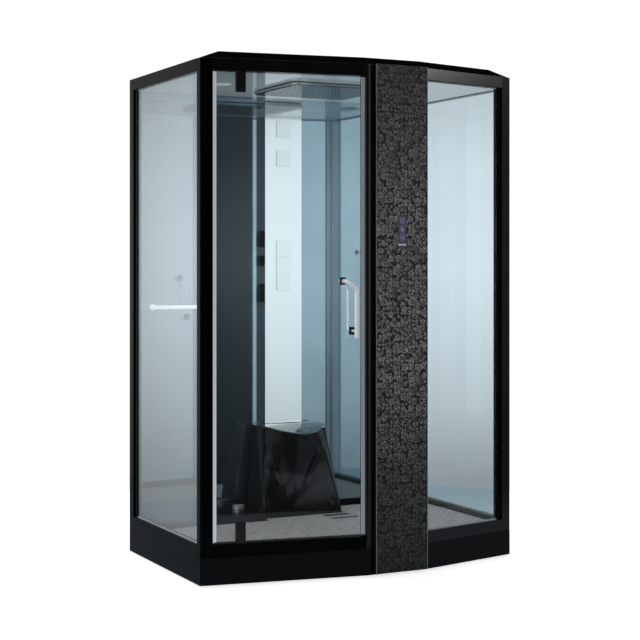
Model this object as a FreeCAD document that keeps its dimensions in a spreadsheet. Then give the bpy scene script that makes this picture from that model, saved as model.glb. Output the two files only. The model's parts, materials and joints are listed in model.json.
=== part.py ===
import FreeCAD, Part
import math
import os
import re
import Sketcher

# Steam shower cabin: a black aluminium frame on a low tray, clear side glass, mirror-glass back
# wall, a three-facet front with a pivot door, a full-height pattern panel and a fixed pane.
# Millimetres, +Z up, the front faces -Y. The origin lies on the floor under the middle foot.
#
# Plan of the front, seen from above (B and E are the front corners, C and D the bends):
#
#   B---__ door facet      middle facet      right facet __---E
#          ---___ C ======================= D ___---

SIZES = [
    ("cabin_width", 1500, "outside width of the frame"),
    ("side_depth", 850, "depth of the side walls"),
    ("bow_depth", 120, "how far the middle facet stands in front of the front corners"),
    ("door_run", 710, "width of the door facet along X"),
    ("panel_run", 275, "width of the middle facet along X"),
    ("base_height", 118, "floor to the underside of the sill rails"),
    ("rail_height", 50, "height of every sill and header rail"),
    ("rail_depth", 45, "front-to-back depth of the rails and corner posts"),
    ("rail_wall", 2, "wall of the aluminium rails"),
    ("clear_height", 1932, "sill top to header underside"),
    ("post_face", 53, "front width of the near-left post"),
    ("right_post_face", 50, "front width of the near-right post"),
    ("rear_post_side", 50, "side width of the two rear posts"),
    ("rear_rail_depth", 14, "depth of the rear rails"),
    ("channel_width", 27, "width of the glass channels beside the rear posts"),
    ("front_channel_width", 25, "width of the glass channel beside the near-right post"),
    ("channel_depth", 26, "depth of the glass channels"),
    ("glass_thickness", 6, "fixed glass"),
    ("glass_setback", 14, "outer face of the frame to the outer face of the glass"),
    ("rear_setback", 6, "rear face of the frame to the rear face of the mirror glass"),
    ("groove_depth", 15, "how deep the rails hold the glass"),
    ("groove_gap", 0.2, "side clearance of the glass in its groove"),
    ("jamb_width", 9, "width of the door jamb on the door facet"),
    ("panel_margin", 25, "door bend C to the left edge of the pattern panel"),
    ("glass_post_back", 3.4, "width of the slim post at the bend D, at its rear face"),
    ("tray_wall", 6, "wall of the moulded tray"),
    ("basin_floor", 80, "height of the wet floor of the tray"),
    ("skirt_thickness", 4, "wall of the skirts"),
    ("skirt_lift", 6, "floor to the lower edge of the skirts"),
    ("bearer_size", 30, "square steel tube of the support frame"),
    ("bearer_wall", 2, "wall of that tube"),
    ("bearer_inset", 130, "side of the frame to the long bearers"),
    ("foot_pad", 24, "radius of a levelling foot's pad"),
    ("foot_pad_height", 12, "height of that pad"),
    ("foot_stud", 6, "radius of its threaded stud"),
    ("foot_inset", 140, "side of the cabin to the outer feet"),
    ("board_height", 148, "height of the walking face of the floor board"),
    ("board_thickness", 14, "thickness of the floor board"),
    ("board_gap", 8, "clearance round the floor board"),
    ("board_rear", 92, "rear of the cabin to the floor board"),
    ("board_rib", 18, "width of the ribs under the floor board"),
    ("board_ribs", 7, "number of those ribs"),
    ("slot_width", 6, "width of a drain slot in the floor board"),
    ("slot_length", 120, "length of a drain slot"),
    ("slot_pitch", 22, "spacing of the drain slots"),
    ("slot_count", 7, "number of drain slots"),
    ("plinth_height", 177, "floor to the top of the low plinth beside the seat"),
    ("plinth_front", 310, "rear of the cabin to the front of the plinth"),
    ("plinth_wall", 4, "wall of the plinth"),
    ("drain_x", 150, "drain, to the right of the cabin's middle"),
    ("drain_y", 60, "drain, behind the cabin's middle"),
    ("drain_bore", 42, "radius of the waste hole in the tray"),
    ("trap_radius", 48, "radius of the trap's bowl"),
    ("trap_height", 72, "height of the trap's bowl"),
    ("waste_radius", 20, "outside radius of the waste pipe"),
    ("spigot_length", 50, "length of the waste pipe's spigot"),
    ("grate_radius", 55, "radius of the drain grate"),
    ("grate_thickness", 3, "thickness of the drain grate"),
    ("seat_centre", 0, "seat, from the cabin's middle along X"),
    ("seat_foot_half", 207, "half the width of the seat at its foot"),
    ("seat_top_half", 170, "half the width of the seat at its top"),
    ("seat_foot_reach", 250, "depth of the seat at its foot"),
    ("seat_foot_corner", 12, "corner radius of the seat at its foot"),
    ("seat_waist_reach", 232, "depth of the seat at its waist"),
    ("seat_waist_half", 183, "half the width of the seat at its waist"),
    ("seat_waist_height", 370, "floor to the seat's waist"),
    ("seat_waist_corner", 55, "corner radius of the seat at its waist"),
    ("seat_top_corner", 150, "corner radius of the seat at its top"),
    ("seat_top_reach", 250, "depth of the seat at its top"),
    ("seat_height", 560, "floor to the top of the seat"),
    ("seat_dish", 30, "depth of the dished front of the seat's top"),
    ("seat_wall", 6, "wall of the moulded seat"),
    ("boiler_length", 220, "steam generator along X"),
    ("boiler_depth", 130, "steam generator along Y"),
    ("boiler_height", 190, "steam generator along Z"),
    ("boiler_wall", 4, "shell of the steam generator, open at the tray"),
    ("steam_pipe_radius", 12, "outside radius of the steam pipe"),
    ("steam_cap_radius", 28, "radius of the steam outlet's cap"),
    ("steam_cap_height", 16, "height of that cap"),
    ("column_width", 191, "width of the shower column"),
    ("column_reach", 50, "mirror glass to the front of the shower column"),
    ("column_wall", 3, "wall of the shower column"),
    ("column_centre", -4.5, "shower column, from the cabin's middle along X"),
    ("plate_side", 76, "side of a square spray plate"),
    ("plate_thickness", 3, "how far a spray plate stands proud"),
    ("plate_top_1", 1950, "height of the middle of the first spray plate"),
    ("plate_top_2", 1812, "second spray plate"),
    ("plate_top_3", 1385, "third spray plate"),
    ("plate_top_4", 1305, "fourth spray plate"),
    ("plate_top_5", 1225, "fifth spray plate"),
    ("mixer_radius", 20, "radius of the mixer body"),
    ("mixer_foot", 1090, "height of its lower end"),
    ("mixer_top", 1480, "height of its upper end"),
    ("inlet_radius", 10.48, "radius of a half-inch male thread"),
    ("inlet_reach", 24, "how far the inlets stand out behind the cabin"),
    ("inlet_length", 30, "length of an inlet's thread"),
    ("hot_inlet", 1250, "height of the hot inlet"),
    ("cold_inlet", 1150, "height of the cold inlet"),
    ("temperature_axis", 1402, "height of the temperature lever's axis"),
    ("diverter_axis", 1314, "height of the diverter lever's axis"),
    ("flow_axis", 1142, "height of the flow lever's axis"),
    ("temperature_length", 78, "length of the temperature lever"),
    ("diverter_length", 50, "length of the diverter lever"),
    ("flow_length", 88, "length of the flow lever"),
    ("lever_hub", 11, "radius of a lever's hub"),
    ("lever_tip", 7, "radius of a lever's tip"),
    ("lever_thickness", 9, "thickness of a lever"),
    ("lever_gap", 0.5, "lever to the side of the column"),
    ("spindle_radius", 6, "radius of a lever's spindle"),
    ("spindle_fit", 0.05, "radial running fit of a spindle in the mixer body"),
    ("spindle_bite", 12, "how deep a spindle enters the mixer body"),
    ("spindle_hole", 7, "radius of the spindle's hole in the column"),
    ("riser_radius", 8, "outside radius of the riser pipe"),
    ("socket_half", 12, "half the height of the riser's socket on the rain shower's stem"),
    ("elbow_bulge", 1.3, "an elbow's radius as a share of its pipe's"),
    ("riser_lift", 24, "ceiling to the axis of the riser's level run"),
    ("rain_half_width", 238, "half the rain shower's width"),
    ("rain_half_depth", 225, "half the rain shower's depth"),
    ("rain_corner", 35, "corner radius of the rain shower"),
    ("rain_thickness", 10, "thickness of the rain shower"),
    ("rain_drop", 4, "ceiling to the top of the rain shower"),
    ("rain_face", 3, "thickness of its spray face"),
    ("rain_y", -25, "rain shower, behind the cabin's middle"),
    ("rain_stem", 13, "radius of its stem"),
    ("ceiling_thickness", 4, "thickness of the ceiling panel"),
    ("roof_rise", 34, "height of the roof cover above the header rails"),
    ("roof_front_inset", 50, "front slope of the roof cover"),
    ("roof_side_inset", 95, "side slope of the roof cover"),
    ("roof_wall", 3, "wall of the roof cover"),
    ("roof_edge", 4, "roof cover, in from the outer face of the frame"),
    ("lamp_radius", 45, "radius of the ceiling lamp"),
    ("lamp_height", 22, "height of the ceiling lamp"),
    ("lamp_inset", 270, "left side of the cabin to the lamp"),
    ("lamp_y", 0, "lamp, behind the cabin's middle"),
    ("fan_inset", 250, "right side of the cabin to the fan"),
    ("fan_y", 140, "fan, behind the cabin's middle"),
    ("fan_side", 120, "side of the fan's square housing"),
    ("fan_bore", 56, "radius of the fan's air way"),
    ("fan_height", 30, "height of the fan's housing"),
    ("fan_hub", 18, "radius of the fan's hub"),
    ("fan_tip", 52, "radius over the fan's blades"),
    ("fan_blades", 7, "number of blades"),
    ("fan_shaft", 3, "radius of the fan's shaft"),
    ("fan_fit", 0.05, "radial running fit of that shaft"),
    ("fan_grille_radius", 66, "radius of the fan's grille"),
    ("fan_grille_height", 5, "height of the fan's grille"),
    ("box_depth", 120, "depth of the box behind the pattern panel"),
    ("box_wall", 3, "wall of that box"),
    ("panel_reach", 25, "how far the pattern panel stands proud"),
    ("panel_foot", 15, "floor to the lower edge of the pattern panel"),
    ("panel_gap", 1, "pattern panel to the bend D"),
    ("panel_pocket", 3, "depth of the display's pocket"),
    ("display_width", 40, "width of the touch display"),
    ("display_height", 140, "height of the touch display"),
    ("display_foot", 1377, "height of its lower edge"),
    ("display_gap", 0.3, "clearance round the display"),
    ("control_width", 160, "control unit along X"),
    ("control_depth", 60, "control unit along Y"),
    ("control_height", 220, "control unit along Z"),
    ("control_foot", 1300, "height of its lower edge"),
    ("door_thickness", 8, "door glass"),
    ("door_side_gap", 11, "frame to the edge of the door glass"),
    ("door_top_gap", 5, "header to the top of the door glass"),
    ("door_foot_gap", 10, "sill to the foot of the door glass"),
    ("pivot_from_corner", 172, "front corner to the door's pivot along the facet"),
    ("clamp_width", 40, "width of a hinge clamp"),
    ("clamp_height", 84, "height of a hinge clamp"),
    ("clamp_depth", 26, "depth of a hinge clamp"),
    ("clamp_gap", 0.5, "hinge clamp to the rail"),
    ("notch_width", 30, "width of the notch in the door glass"),
    ("notch_height", 32, "height of that notch"),
    ("pin_radius", 5, "radius of a pivot pin"),
    ("pin_fit", 0.05, "radial running fit of the pin"),
    ("pin_bite", 18, "how deep the pin enters the clamp"),
    ("pin_head_radius", 9, "radius of the pin's nut inside the rail"),
    ("pin_head_height", 8, "height of that nut"),
    ("seal_gap", 2, "side seal to the frame"),
    ("seal_depth", 12, "depth of the side seals"),
    ("sweep_gap", 1, "bottom seal to the sill"),
    ("handle_bar", 652, "front corner to the handle's bar along the facet"),
    ("handle_head", 612, "front corner to the handle's upper mount"),
    ("handle_standoff", 60, "door glass to the handle's axis"),
    ("handle_radius", 8, "radius of the outer handle"),
    ("handle_top", 1240, "height of the upper mount"),
    ("handle_knee", 1206, "height where the bar starts"),
    ("handle_tail", 28, "bar below its lower mount"),
    ("handle_lower", 1032, "height of the lower mount"),
    ("handle_bend", 22, "bend radius of the outer handle's axis"),
    ("inner_bend", 18, "bend radius of the inner handle's axis"),
    ("inner_radius", 5, "radius of the inner handle"),
    ("inner_standoff", 45, "door glass to the inner handle's axis"),
    ("mount_width", 20, "width of a handle mount"),
    ("mount_height", 32, "height of a handle mount"),
    ("mount_thickness", 8, "thickness of a handle mount"),
    ("towel_height", 1114, "height of the towel bar"),
    ("towel_start", 110, "left side of the cabin to the towel bar's first bracket"),
    ("towel_span", 250, "bracket to bracket"),
    ("towel_reach", 60, "mirror glass to the towel bar's axis"),
    ("towel_radius", 9, "radius of the towel bar"),
    ("towel_overhang", 25, "bar beyond its brackets"),
    ("towel_foot", 14, "radius of a bracket's foot"),
    ("sensor_inset", 330, "right side of the cabin to the temperature sensor"),
    ("sensor_height", 1370, "height of the temperature sensor"),
    ("sensor_radius", 11, "radius of the temperature sensor"),
    ("sensor_reach", 6, "how far it stands proud"),
    ("screw_head", 4.5, "radius of a frame screw's head"),
    ("screw_head_height", 2.5, "height of that head"),
    ("screw_inset", 25, "end of a post to its first screw"),
    ("screw_count", 6, "screws up each rear post"),
]

doc = FreeCAD.newDocument("steam_shower_cabin")
sheet = doc.addObject("Spreadsheet::Sheet", "sizes")
for line, (alias, number, meaning) in enumerate(SIZES, 1):
    sheet.set(f"A{line}", alias)
    sheet.set(f"B{line}", str(number))
    sheet.set(f"C{line}", meaning)
    sheet.setAlias(f"B{line}", alias)
doc.recompute()

ALIASES = {alias for alias, number, meaning in SIZES}
NODES = []


# ---- formulas -------------------------------------------------------------------------------

def formula(text):
    """The expression for a formula written with the sheet's own names."""
    return re.sub(r"[a-z_][a-z_0-9]*",
                  lambda word: f"sizes.{word[0]}" if word[0] in ALIASES else word[0], str(text))


def value(alias):
    """A size as a number, for the few pieces that are made as a plain shape."""
    return float(sheet.get(alias))


def bind(item, **formulas):
    for name, text in formulas.items():
        item.setExpression(name, formula(text))


def place(item, x, y, z, angle="0", axis="0; 0; 1"):
    text = f"placement(vector({x}; {y}; {z}); rotation(vector({axis}); {angle}))"
    item.setExpression("Placement", formula(text))


# Plan lines that many pieces share.
LEFT = "(-cabin_width / 2)"
RIGHT = "(cabin_width / 2)"
FRONT = "(-side_depth / 2)"
REAR = "(side_depth / 2)"
BEND_C = f"({LEFT} + door_run)"
BEND_D = f"({BEND_C} + panel_run)"
NOSE = f"({FRONT} - bow_depth)"
RIGHT_RUN = "(cabin_width - door_run - panel_run)"
DOOR_LENGTH = "sqrt(door_run ^ 2 + bow_depth ^ 2)"
RIGHT_LENGTH = f"sqrt({RIGHT_RUN} ^ 2 + bow_depth ^ 2)"
DOOR_ANGLE = "(-atan(bow_depth / door_run))"
RIGHT_ANGLE = f"atan(bow_depth / {RIGHT_RUN})"
LAMP_X = f"({LEFT} + lamp_inset)"
FAN_X = f"({RIGHT} - fan_inset)"
SENSOR_X = f"({RIGHT} - sensor_inset)"
PANEL_LEFT = f"({BEND_C} + panel_margin)"
PANEL_RIGHT = f"({BEND_D} - panel_gap)"
PANEL_WIDTH = "(panel_run - panel_margin - panel_gap)"
BOX_BACK = f"({NOSE} + box_depth)"

# Heights that many pieces share.
SILL_TOP = "(base_height + rail_height)"
HEADER_FOOT = "(base_height + rail_height + clear_height)"
FRAME_TOP = "(base_height + 2 * rail_height + clear_height)"
FRAME_HEIGHT = "(2 * rail_height + clear_height)"
TRAY_FOOT = "(basin_floor - tray_wall)"
MIRROR = f"({REAR} - rear_setback - glass_thickness)"
BASIN_REAR = f"({REAR} - rear_rail_depth)"

# Each wall as a line on the plan: where it starts, and its angle, seen from outside left to right.
WALLS = {
    "left": (LEFT, REAR, "-90"),
    "door": (LEFT, FRONT, DOOR_ANGLE),
    "right_front": (BEND_D, NOSE, RIGHT_ANGLE),
    "right": (RIGHT, FRONT, "90"),
    "rear": (RIGHT, REAR, "180"),
}


def on(wall, along, inward):
    """Formulas for the x and y of a point on a wall: along it, and inward from its outer face."""
    x, y, angle = WALLS[wall]
    return (f"({x} + ({along}) * cos({angle}) - ({inward}) * sin({angle}))",
            f"({y} + ({along}) * sin({angle}) + ({inward}) * cos({angle}))")


def behind_door_facet(x, inward):
    """The y of the door facet's line at x, moved inward."""
    return f"({FRONT} - ({x} + cabin_width / 2) * bow_depth / door_run + ({inward}) / cos({DOOR_ANGLE}))"


def behind_right_facet(x, inward):
    """The y of the right facet's line at x, moved inward."""
    return (f"({FRONT} - (cabin_width / 2 - {x}) * bow_depth / {RIGHT_RUN}"
            f" + ({inward}) / cos({RIGHT_ANGLE}))")


# ---- solids ---------------------------------------------------------------------------------

def node(item, label):
    item.Label = label
    NODES.append(item)
    return item


def box(x, y, z, length, width, height):
    item = doc.addObject("Part::Box", "block")
    bind(item, Length=length, Width=width, Height=height)
    place(item, x, y, z)
    return item


def wall_box(wall, along, inward, z, length, depth, height):
    """A box that lies along a wall of the cabin."""
    item = doc.addObject("Part::Box", "block")
    bind(item, Length=length, Width=depth, Height=height)
    place(item, *on(wall, along, inward), z, WALLS[wall][2])
    return item


def cylinder(x, y, z, radius, height, angle="0", axis="0; 0; 1"):
    item = doc.addObject("Part::Cylinder", "round")
    bind(item, Radius=radius, Height=height)
    place(item, x, y, z, angle, axis)
    return item


def cylinder_along_y(x, y, z, radius, length):
    """A cylinder whose foot is at y and which runs towards +Y."""
    return cylinder(x, y, z, radius, length, "-90", "1; 0; 0")


def cylinder_along_x(x, y, z, radius, length):
    """A cylinder whose foot is at x and which runs towards +X."""
    return cylinder(x, y, z, radius, length, "90", "0; 1; 0")


def cut(base, *tools):
    item = doc.addObject("Part::Cut", "cut")
    item.Base = base
    item.Tool = tools[0] if len(tools) == 1 else group(*tools)
    return item


def fuse(*shapes):
    item = doc.addObject("Part::MultiFuse", "fuse")
    item.Shapes = list(shapes)
    return item


def group(*shapes):
    """Separate solids kept together, as one set of like pieces."""
    item = doc.addObject("Part::Compound", "set")
    item.Links = list(shapes)
    return item


def outline(body, points, z):
    """A closed sketch on the body's XY plane, lifted to z, with every corner bound to formulas."""
    sketch = body.newObject("Sketcher::SketchObject", "outline")
    plane = [part for part in body.Origin.OriginFeatures if part.Role == "XY_Plane"][0]
    sketch.AttachmentSupport = [(plane, "")]
    sketch.MapMode = "FlatFace"
    bind(sketch, **{"AttachmentOffset.Base.z": z})
    corners = len(points)
    for corner in range(corners):
        turn = FreeCAD.Vector(1 + corner, corner ** 2, 0)
        step = FreeCAD.Vector(2 + corner, (corner + 1) ** 2, 0)
        sketch.addGeometry(Part.LineSegment(turn, step), False)
    for corner in range(corners):
        sketch.addConstraint(Sketcher.Constraint("Coincident", corner, 2, (corner + 1) % corners, 1))
    for corner, (x, y) in enumerate(points):
        for kind, text in (("DistanceX", x), ("DistanceY", y)):
            number = sketch.addConstraint(Sketcher.Constraint(kind, corner, 1, 1.0))
            sketch.setExpression(f"Constraints[{number}]", formula(text))
    return sketch


def prism(points, z, height):
    """A straight-sided piece of the cabin's plan."""
    body = doc.addObject("PartDesign::Body", "prism")
    sketch = outline(body, points, z)
    pad = body.newObject("PartDesign::Pad", "pad")
    pad.Profile = sketch
    bind(pad, Length=height)
    return body


def loft(*sections):
    """A piece that changes from one outline to the next; each section is its points and height."""
    body = doc.addObject("PartDesign::Body", "loft")
    sketches = [outline(body, points, z) for points, z in sections]
    item = body.newObject("PartDesign::AdditiveLoft", "loft")
    item.Profile = sketches[0]
    item.Sections = sketches[1:]
    item.Ruled = True
    return body


def rail(wall, along, length, z, groove=None):
    """A hollow rail along a wall, with a groove for the glass on its top or underside."""
    outer = wall_box(wall, along, "0", z, length, "rail_depth", "rail_height")
    shelf = "groove_depth + rail_wall" if groove else "rail_wall"
    low = "rail_wall" if groove != "under" else shelf
    high = "rail_wall" if groove != "top" else shelf
    hollow = wall_box(wall, f"{along} - 1", "rail_wall", f"{z} + {low}", f"{length} + 2",
                      "rail_depth - 2 * rail_wall", f"rail_height - ({low}) - ({high})")
    if groove is None:
        return cut(outer, hollow)
    slot_z = z if groove == "under" else f"{z} + rail_height - groove_depth"
    slot = wall_box(wall, f"{along} - 1", "glass_setback - groove_gap", slot_z, f"{length} + 2",
                    "glass_thickness + 2 * groove_gap", "groove_depth")
    return cut(outer, hollow, slot)


# Where the rails and posts leave off; the walls' lengths are measured along their outer faces.
INNER_LEFT = f"({LEFT} + rail_depth)"
INNER_RIGHT = f"({RIGHT} - rail_depth)"
POST_BACK_LEFT = behind_door_facet(INNER_LEFT, "rail_depth")
POST_BACK_RIGHT = behind_right_facet(INNER_RIGHT, "rail_depth")
SIDE_START = "rear_post_side"
SIDE_LENGTH_LEFT = f"({REAR} - rear_post_side - {POST_BACK_LEFT})"
SIDE_LENGTH_RIGHT = f"({REAR} - rear_post_side - {POST_BACK_RIGHT})"
DOOR_START = "post_face"
JAMB_START = f"({DOOR_LENGTH} - jamb_width)"
DOOR_OPENING = f"({JAMB_START} - post_face)"
PANE_START = f"((glass_post_back + rail_depth * sin({RIGHT_ANGLE})) / cos({RIGHT_ANGLE}))"
PANE_END = f"({RIGHT_LENGTH} - right_post_face)"


# ---- the tray and what carries it -------------------------------------------------------------

def front_line(inward, first_x, last_x):
    """The plan's front from left to right, moved inward by one distance."""
    middle = f"({NOSE} + ({inward}))"
    shift = f"(({inward}) * tan({DOOR_ANGLE} / 2))"
    other = f"(({inward}) * tan({RIGHT_ANGLE} / 2))"
    return [(first_x, behind_door_facet(first_x, inward)), (f"({BEND_C} - {shift})", middle),
            (f"({BEND_D} - {other})", middle), (last_x, behind_right_facet(last_x, inward))]


def plan(inward, rear):
    """The whole plan, moved inward by one distance, with its own rear line."""
    return ([(f"({LEFT} + {inward})", rear)]
            + front_line(inward, f"({LEFT} + {inward})", f"({RIGHT} - ({inward}))")
            + [(f"({RIGHT} - ({inward}))", rear)])


def inside_outline():
    """The free space inside the rails, posts and the front column, seen from above."""
    return [(INNER_LEFT, BASIN_REAR), (INNER_LEFT, POST_BACK_LEFT),
            on("door", JAMB_START, "rail_depth"), (PANEL_LEFT, f"({NOSE} + rail_depth)"),
            (PANEL_LEFT, BOX_BACK), (BEND_D, BOX_BACK), (BEND_D, f"({NOSE} + rail_depth)"),
            on("right_front", PANE_START, "rail_depth"),
            (INNER_RIGHT, POST_BACK_RIGHT), (INNER_RIGHT, BASIN_REAR)]


def shower_tray():
    outer = prism(plan("skirt_thickness", REAR), TRAY_FOOT, f"base_height - {TRAY_FOOT}")
    basin = prism(inside_outline(), "basin_floor", "base_height - basin_floor + 1")
    waste = cylinder("drain_x", "drain_y", f"{TRAY_FOOT} - 1", "drain_bore", "tray_wall + 2")
    return cut(outer, basin, waste)


def front_skirt():
    height = "base_height - skirt_lift"
    outer = prism(plan("0", REAR), "skirt_lift", height)
    inner = prism(plan("skirt_thickness", f"({REAR} + 1)"), "skirt_lift - 1", f"{height} + 2")
    sides = box(f"{LEFT} - 1", FRONT, "skirt_lift - 1", "cabin_width + 2", "side_depth + 2",
                f"{height} + 2")
    return cut(outer, inner, sides)


def side_skirts():
    height = "base_height - skirt_lift"
    return group(box(LEFT, FRONT, "skirt_lift", "skirt_thickness", "side_depth", height),
                 box(f"{RIGHT} - skirt_thickness", FRONT, "skirt_lift", "skirt_thickness",
                     "side_depth", height))


def square_tube(x, y, z, length, width):
    """A steel tube on the plan; its longer side is its length, and it is open at both ends."""
    along_x = length != "bearer_size"
    outer = box(x, y, z, length, width, "bearer_size")
    lengthwise = (f"{x} - 1", f"{y} + bearer_wall", f"{length} + 2", "bearer_size - 2 * bearer_wall")
    crosswise = (f"{x} + bearer_wall", f"{y} - 1", "bearer_size - 2 * bearer_wall", f"{width} + 2")
    bore_x, bore_y, bore_length, bore_width = lengthwise if along_x else crosswise
    return cut(outer, box(bore_x, bore_y, f"{z} + bearer_wall", bore_length, bore_width,
                          "bearer_size - 2 * bearer_wall"))


BEARER_Z = f"({TRAY_FOOT} - bearer_size)"
BEARER_FRONT = f"({FRONT} + bearer_inset - bearer_size / 2)"
BEARER_REAR = f"({REAR} - bearer_inset - bearer_size / 2)"
FOOT_ROWS = (f"({FRONT} + bearer_inset)", f"({REAR} - bearer_inset)")
FOOT_COLUMNS = (f"({LEFT} + foot_inset)", "0", f"({RIGHT} - foot_inset)")


def long_bearers():
    return group(*[square_tube(f"{LEFT} + skirt_thickness + 2", y, BEARER_Z,
                               "cabin_width - 2 * skirt_thickness - 4", "bearer_size")
                   for y in (BEARER_FRONT, BEARER_REAR)])


def cross_bearers():
    return group(*[square_tube(f"{x} - bearer_size / 2", f"{BEARER_FRONT} + bearer_size", BEARER_Z,
                               "bearer_size", f"{BEARER_REAR} - {BEARER_FRONT} - bearer_size")
                   for x in FOOT_COLUMNS])


def foot(x, y):
    pad = cylinder(x, y, "0", "foot_pad", "foot_pad_height")
    stud = cylinder(x, y, "foot_pad_height", "foot_stud", f"{BEARER_Z} - foot_pad_height")
    return fuse(pad, stud)


def levelling_feet():
    places = [(x, y) for x in FOOT_COLUMNS for y in FOOT_ROWS] + [("0", "0")]
    return group(*[foot(x, y) for x, y in places])


def drain_trap():
    top = f"({TRAY_FOOT} - trap_height)"
    bowl = cylinder("drain_x", "drain_y", top, "trap_radius", "trap_height")
    hollow = cylinder("drain_x", "drain_y", f"{top} + tray_wall", "drain_bore", "trap_height")
    pipe_z = f"({top} + waste_radius)"
    start = "(drain_y + trap_radius - tray_wall / 2)"
    pipe = cylinder_along_y("drain_x", start, pipe_z, "waste_radius - 1", f"{REAR} - {start}")
    spigot = cylinder_along_y("drain_x", f"{REAR} - spigot_length", pipe_z, "waste_radius",
                              "spigot_length")
    way = cylinder_along_y("drain_x", "drain_y + drain_bore - 4", pipe_z, "waste_radius - 3",
                           f"{REAR} - drain_y - drain_bore + 5")
    return cut(fuse(bowl, pipe, spigot), hollow, way)


def drain_grate():
    disc = cylinder("drain_x", "drain_y", "basin_floor", "grate_radius", "grate_thickness")
    slots = [box(f"drain_x - drain_bore * {reach}", f"drain_y + {row} * drain_bore / 3 - 2",
                 "basin_floor - 1", f"2 * drain_bore * {reach}", "4", "grate_thickness + 2")
             for row, reach in ((-2, 0.6), (-1, 0.8), (0, 0.9), (1, 0.8), (2, 0.6))]
    return cut(disc, *slots)


# ---- the floor board and the plinth -----------------------------------------------------------

PLINTH_FRONT = f"({REAR} - plinth_front)"
PLINTH_RIGHT = "(seat_centre - seat_foot_half - 1)"
SEAT_FRONT = f"({BASIN_REAR} - seat_foot_reach)"
BOARD_REAR = f"({REAR} - board_rear)"


def floor_board():
    inset = "(rail_depth + board_gap)"
    first = f"({LEFT} + {inset})"
    last = f"({RIGHT} - {inset})"
    box_left = f"({PANEL_LEFT} - board_gap)"
    box_right = f"({BEND_D} + board_gap)"
    box_back = f"({BOX_BACK} + board_gap)"
    door_side = [(first, behind_door_facet(first, inset)), (box_left, behind_door_facet(box_left, inset))]
    pane_side = [(box_right, behind_right_facet(box_right, inset)), (last, behind_right_facet(last, inset))]
    seat_left = f"({PLINTH_RIGHT} + board_gap)"
    seat_right = "(seat_centre + seat_foot_half + board_gap)"
    seat_line = f"({SEAT_FRONT} - board_gap)"
    edge = ([(first, f"({PLINTH_FRONT} - board_gap)")] + door_side
            + [(box_left, box_back), (box_right, box_back)] + pane_side
            + [(last, BOARD_REAR), (seat_right, BOARD_REAR), (seat_right, seat_line),
               (seat_left, seat_line), (seat_left, f"({PLINTH_FRONT} - board_gap)")])
    plate = prism(edge, "board_height - board_thickness", "board_thickness")
    slots = [box("drain_x - slot_length / 2", f"drain_y + ({row}) * slot_pitch - slot_width / 2",
                 "board_height - board_thickness - 1", "slot_length", "slot_width",
                 "board_thickness + 2")
             for row in rows_about_middle(int(value("slot_count")))]
    rib_front = f"({FRONT} + rail_depth + 3 * board_gap)"
    count = int(value("board_ribs"))
    ribs = []
    for number in range(count):
        share = number / (count - 1)
        x = f"({first} + board_gap + ({last} - {first} - 2 * board_gap - board_rib) * {share})"
        ribs.append(box(x, rib_front, "basin_floor", "board_rib",
                        f"{PLINTH_FRONT} - 3 * board_gap - {rib_front}",
                        "board_height - board_thickness - basin_floor"))
    clear = cylinder("drain_x", "drain_y", "basin_floor - 1", "grate_radius + board_gap",
                     "board_height - board_thickness - basin_floor + 1")
    return cut(cut(fuse(plate, *ribs), clear), *slots)


def rows_about_middle(count):
    return [row - (count - 1) / 2 for row in range(count)]


def plinth():
    left = f"({LEFT} + rail_depth)"
    wide = f"{PLINTH_RIGHT} - {left}"
    deep = f"{BASIN_REAR} - {PLINTH_FRONT}"
    tall = "plinth_height - basin_floor"
    outer = box(left, PLINTH_FRONT, "basin_floor", wide, deep, tall)
    inner = box(f"{left} + plinth_wall", f"{PLINTH_FRONT} + plinth_wall", "basin_floor - 1",
                f"{wide}", f"{deep} - 2 * plinth_wall", f"{tall} + 1 - plinth_wall")
    pipe = cylinder(*STEAM_OUTLET, "basin_floor", "steam_pipe_radius + 1", tall + " + 1")
    return cut(outer, inner, pipe)


# ---- rails, posts and glass -------------------------------------------------------------------

def side_rails(z, groove):
    return group(rail("left", SIDE_START, SIDE_LENGTH_LEFT, z, groove),
                 rail("right", f"{POST_BACK_RIGHT} - {FRONT}", SIDE_LENGTH_RIGHT, z, groove))


def hinge_hole(z, height):
    return cylinder(*PIVOT, z, "pin_radius + pin_fit", height)


def sill_door():
    return cut(rail("door", DOOR_START, DOOR_OPENING, "base_height"),
               hinge_hole(f"{SILL_TOP} - rail_wall - 1", "rail_wall + 2"))


def header_door():
    return cut(rail("door", DOOR_START, DOOR_OPENING, HEADER_FOOT),
               hinge_hole(f"{HEADER_FOOT} - 1", "rail_wall + 2"))


def front_right_rail(z, groove):
    return rail("right_front", PANE_START, f"{PANE_END} - {PANE_START}", z, groove)


def rear_rail(z, groove_z):
    outer = box(INNER_LEFT, BASIN_REAR, z, "cabin_width - 2 * rail_depth", "rear_rail_depth",
                "rail_height")
    slot = box(f"{INNER_LEFT} - 1", f"{MIRROR} - groove_gap", groove_z,
               "cabin_width - 2 * rail_depth + 2", "glass_thickness + 2 * groove_gap", "groove_depth")
    return cut(outer, slot)


def rear_rails():
    return group(rear_rail("base_height", f"{SILL_TOP} - groove_depth"),
                 rear_rail(HEADER_FOOT, HEADER_FOOT))


def post_front_left():
    points = [(LEFT, FRONT), on("door", "post_face", "0"), on("door", "post_face", "rail_depth"),
              (INNER_LEFT, POST_BACK_LEFT), (LEFT, POST_BACK_LEFT)]
    return prism(points, "base_height", FRAME_HEIGHT)


def post_front_right():
    points = [(RIGHT, FRONT), (RIGHT, POST_BACK_RIGHT), (INNER_RIGHT, POST_BACK_RIGHT),
              on("right_front", PANE_END, "rail_depth"), on("right_front", PANE_END, "0")]
    return prism(points, "base_height", FRAME_HEIGHT)


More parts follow.
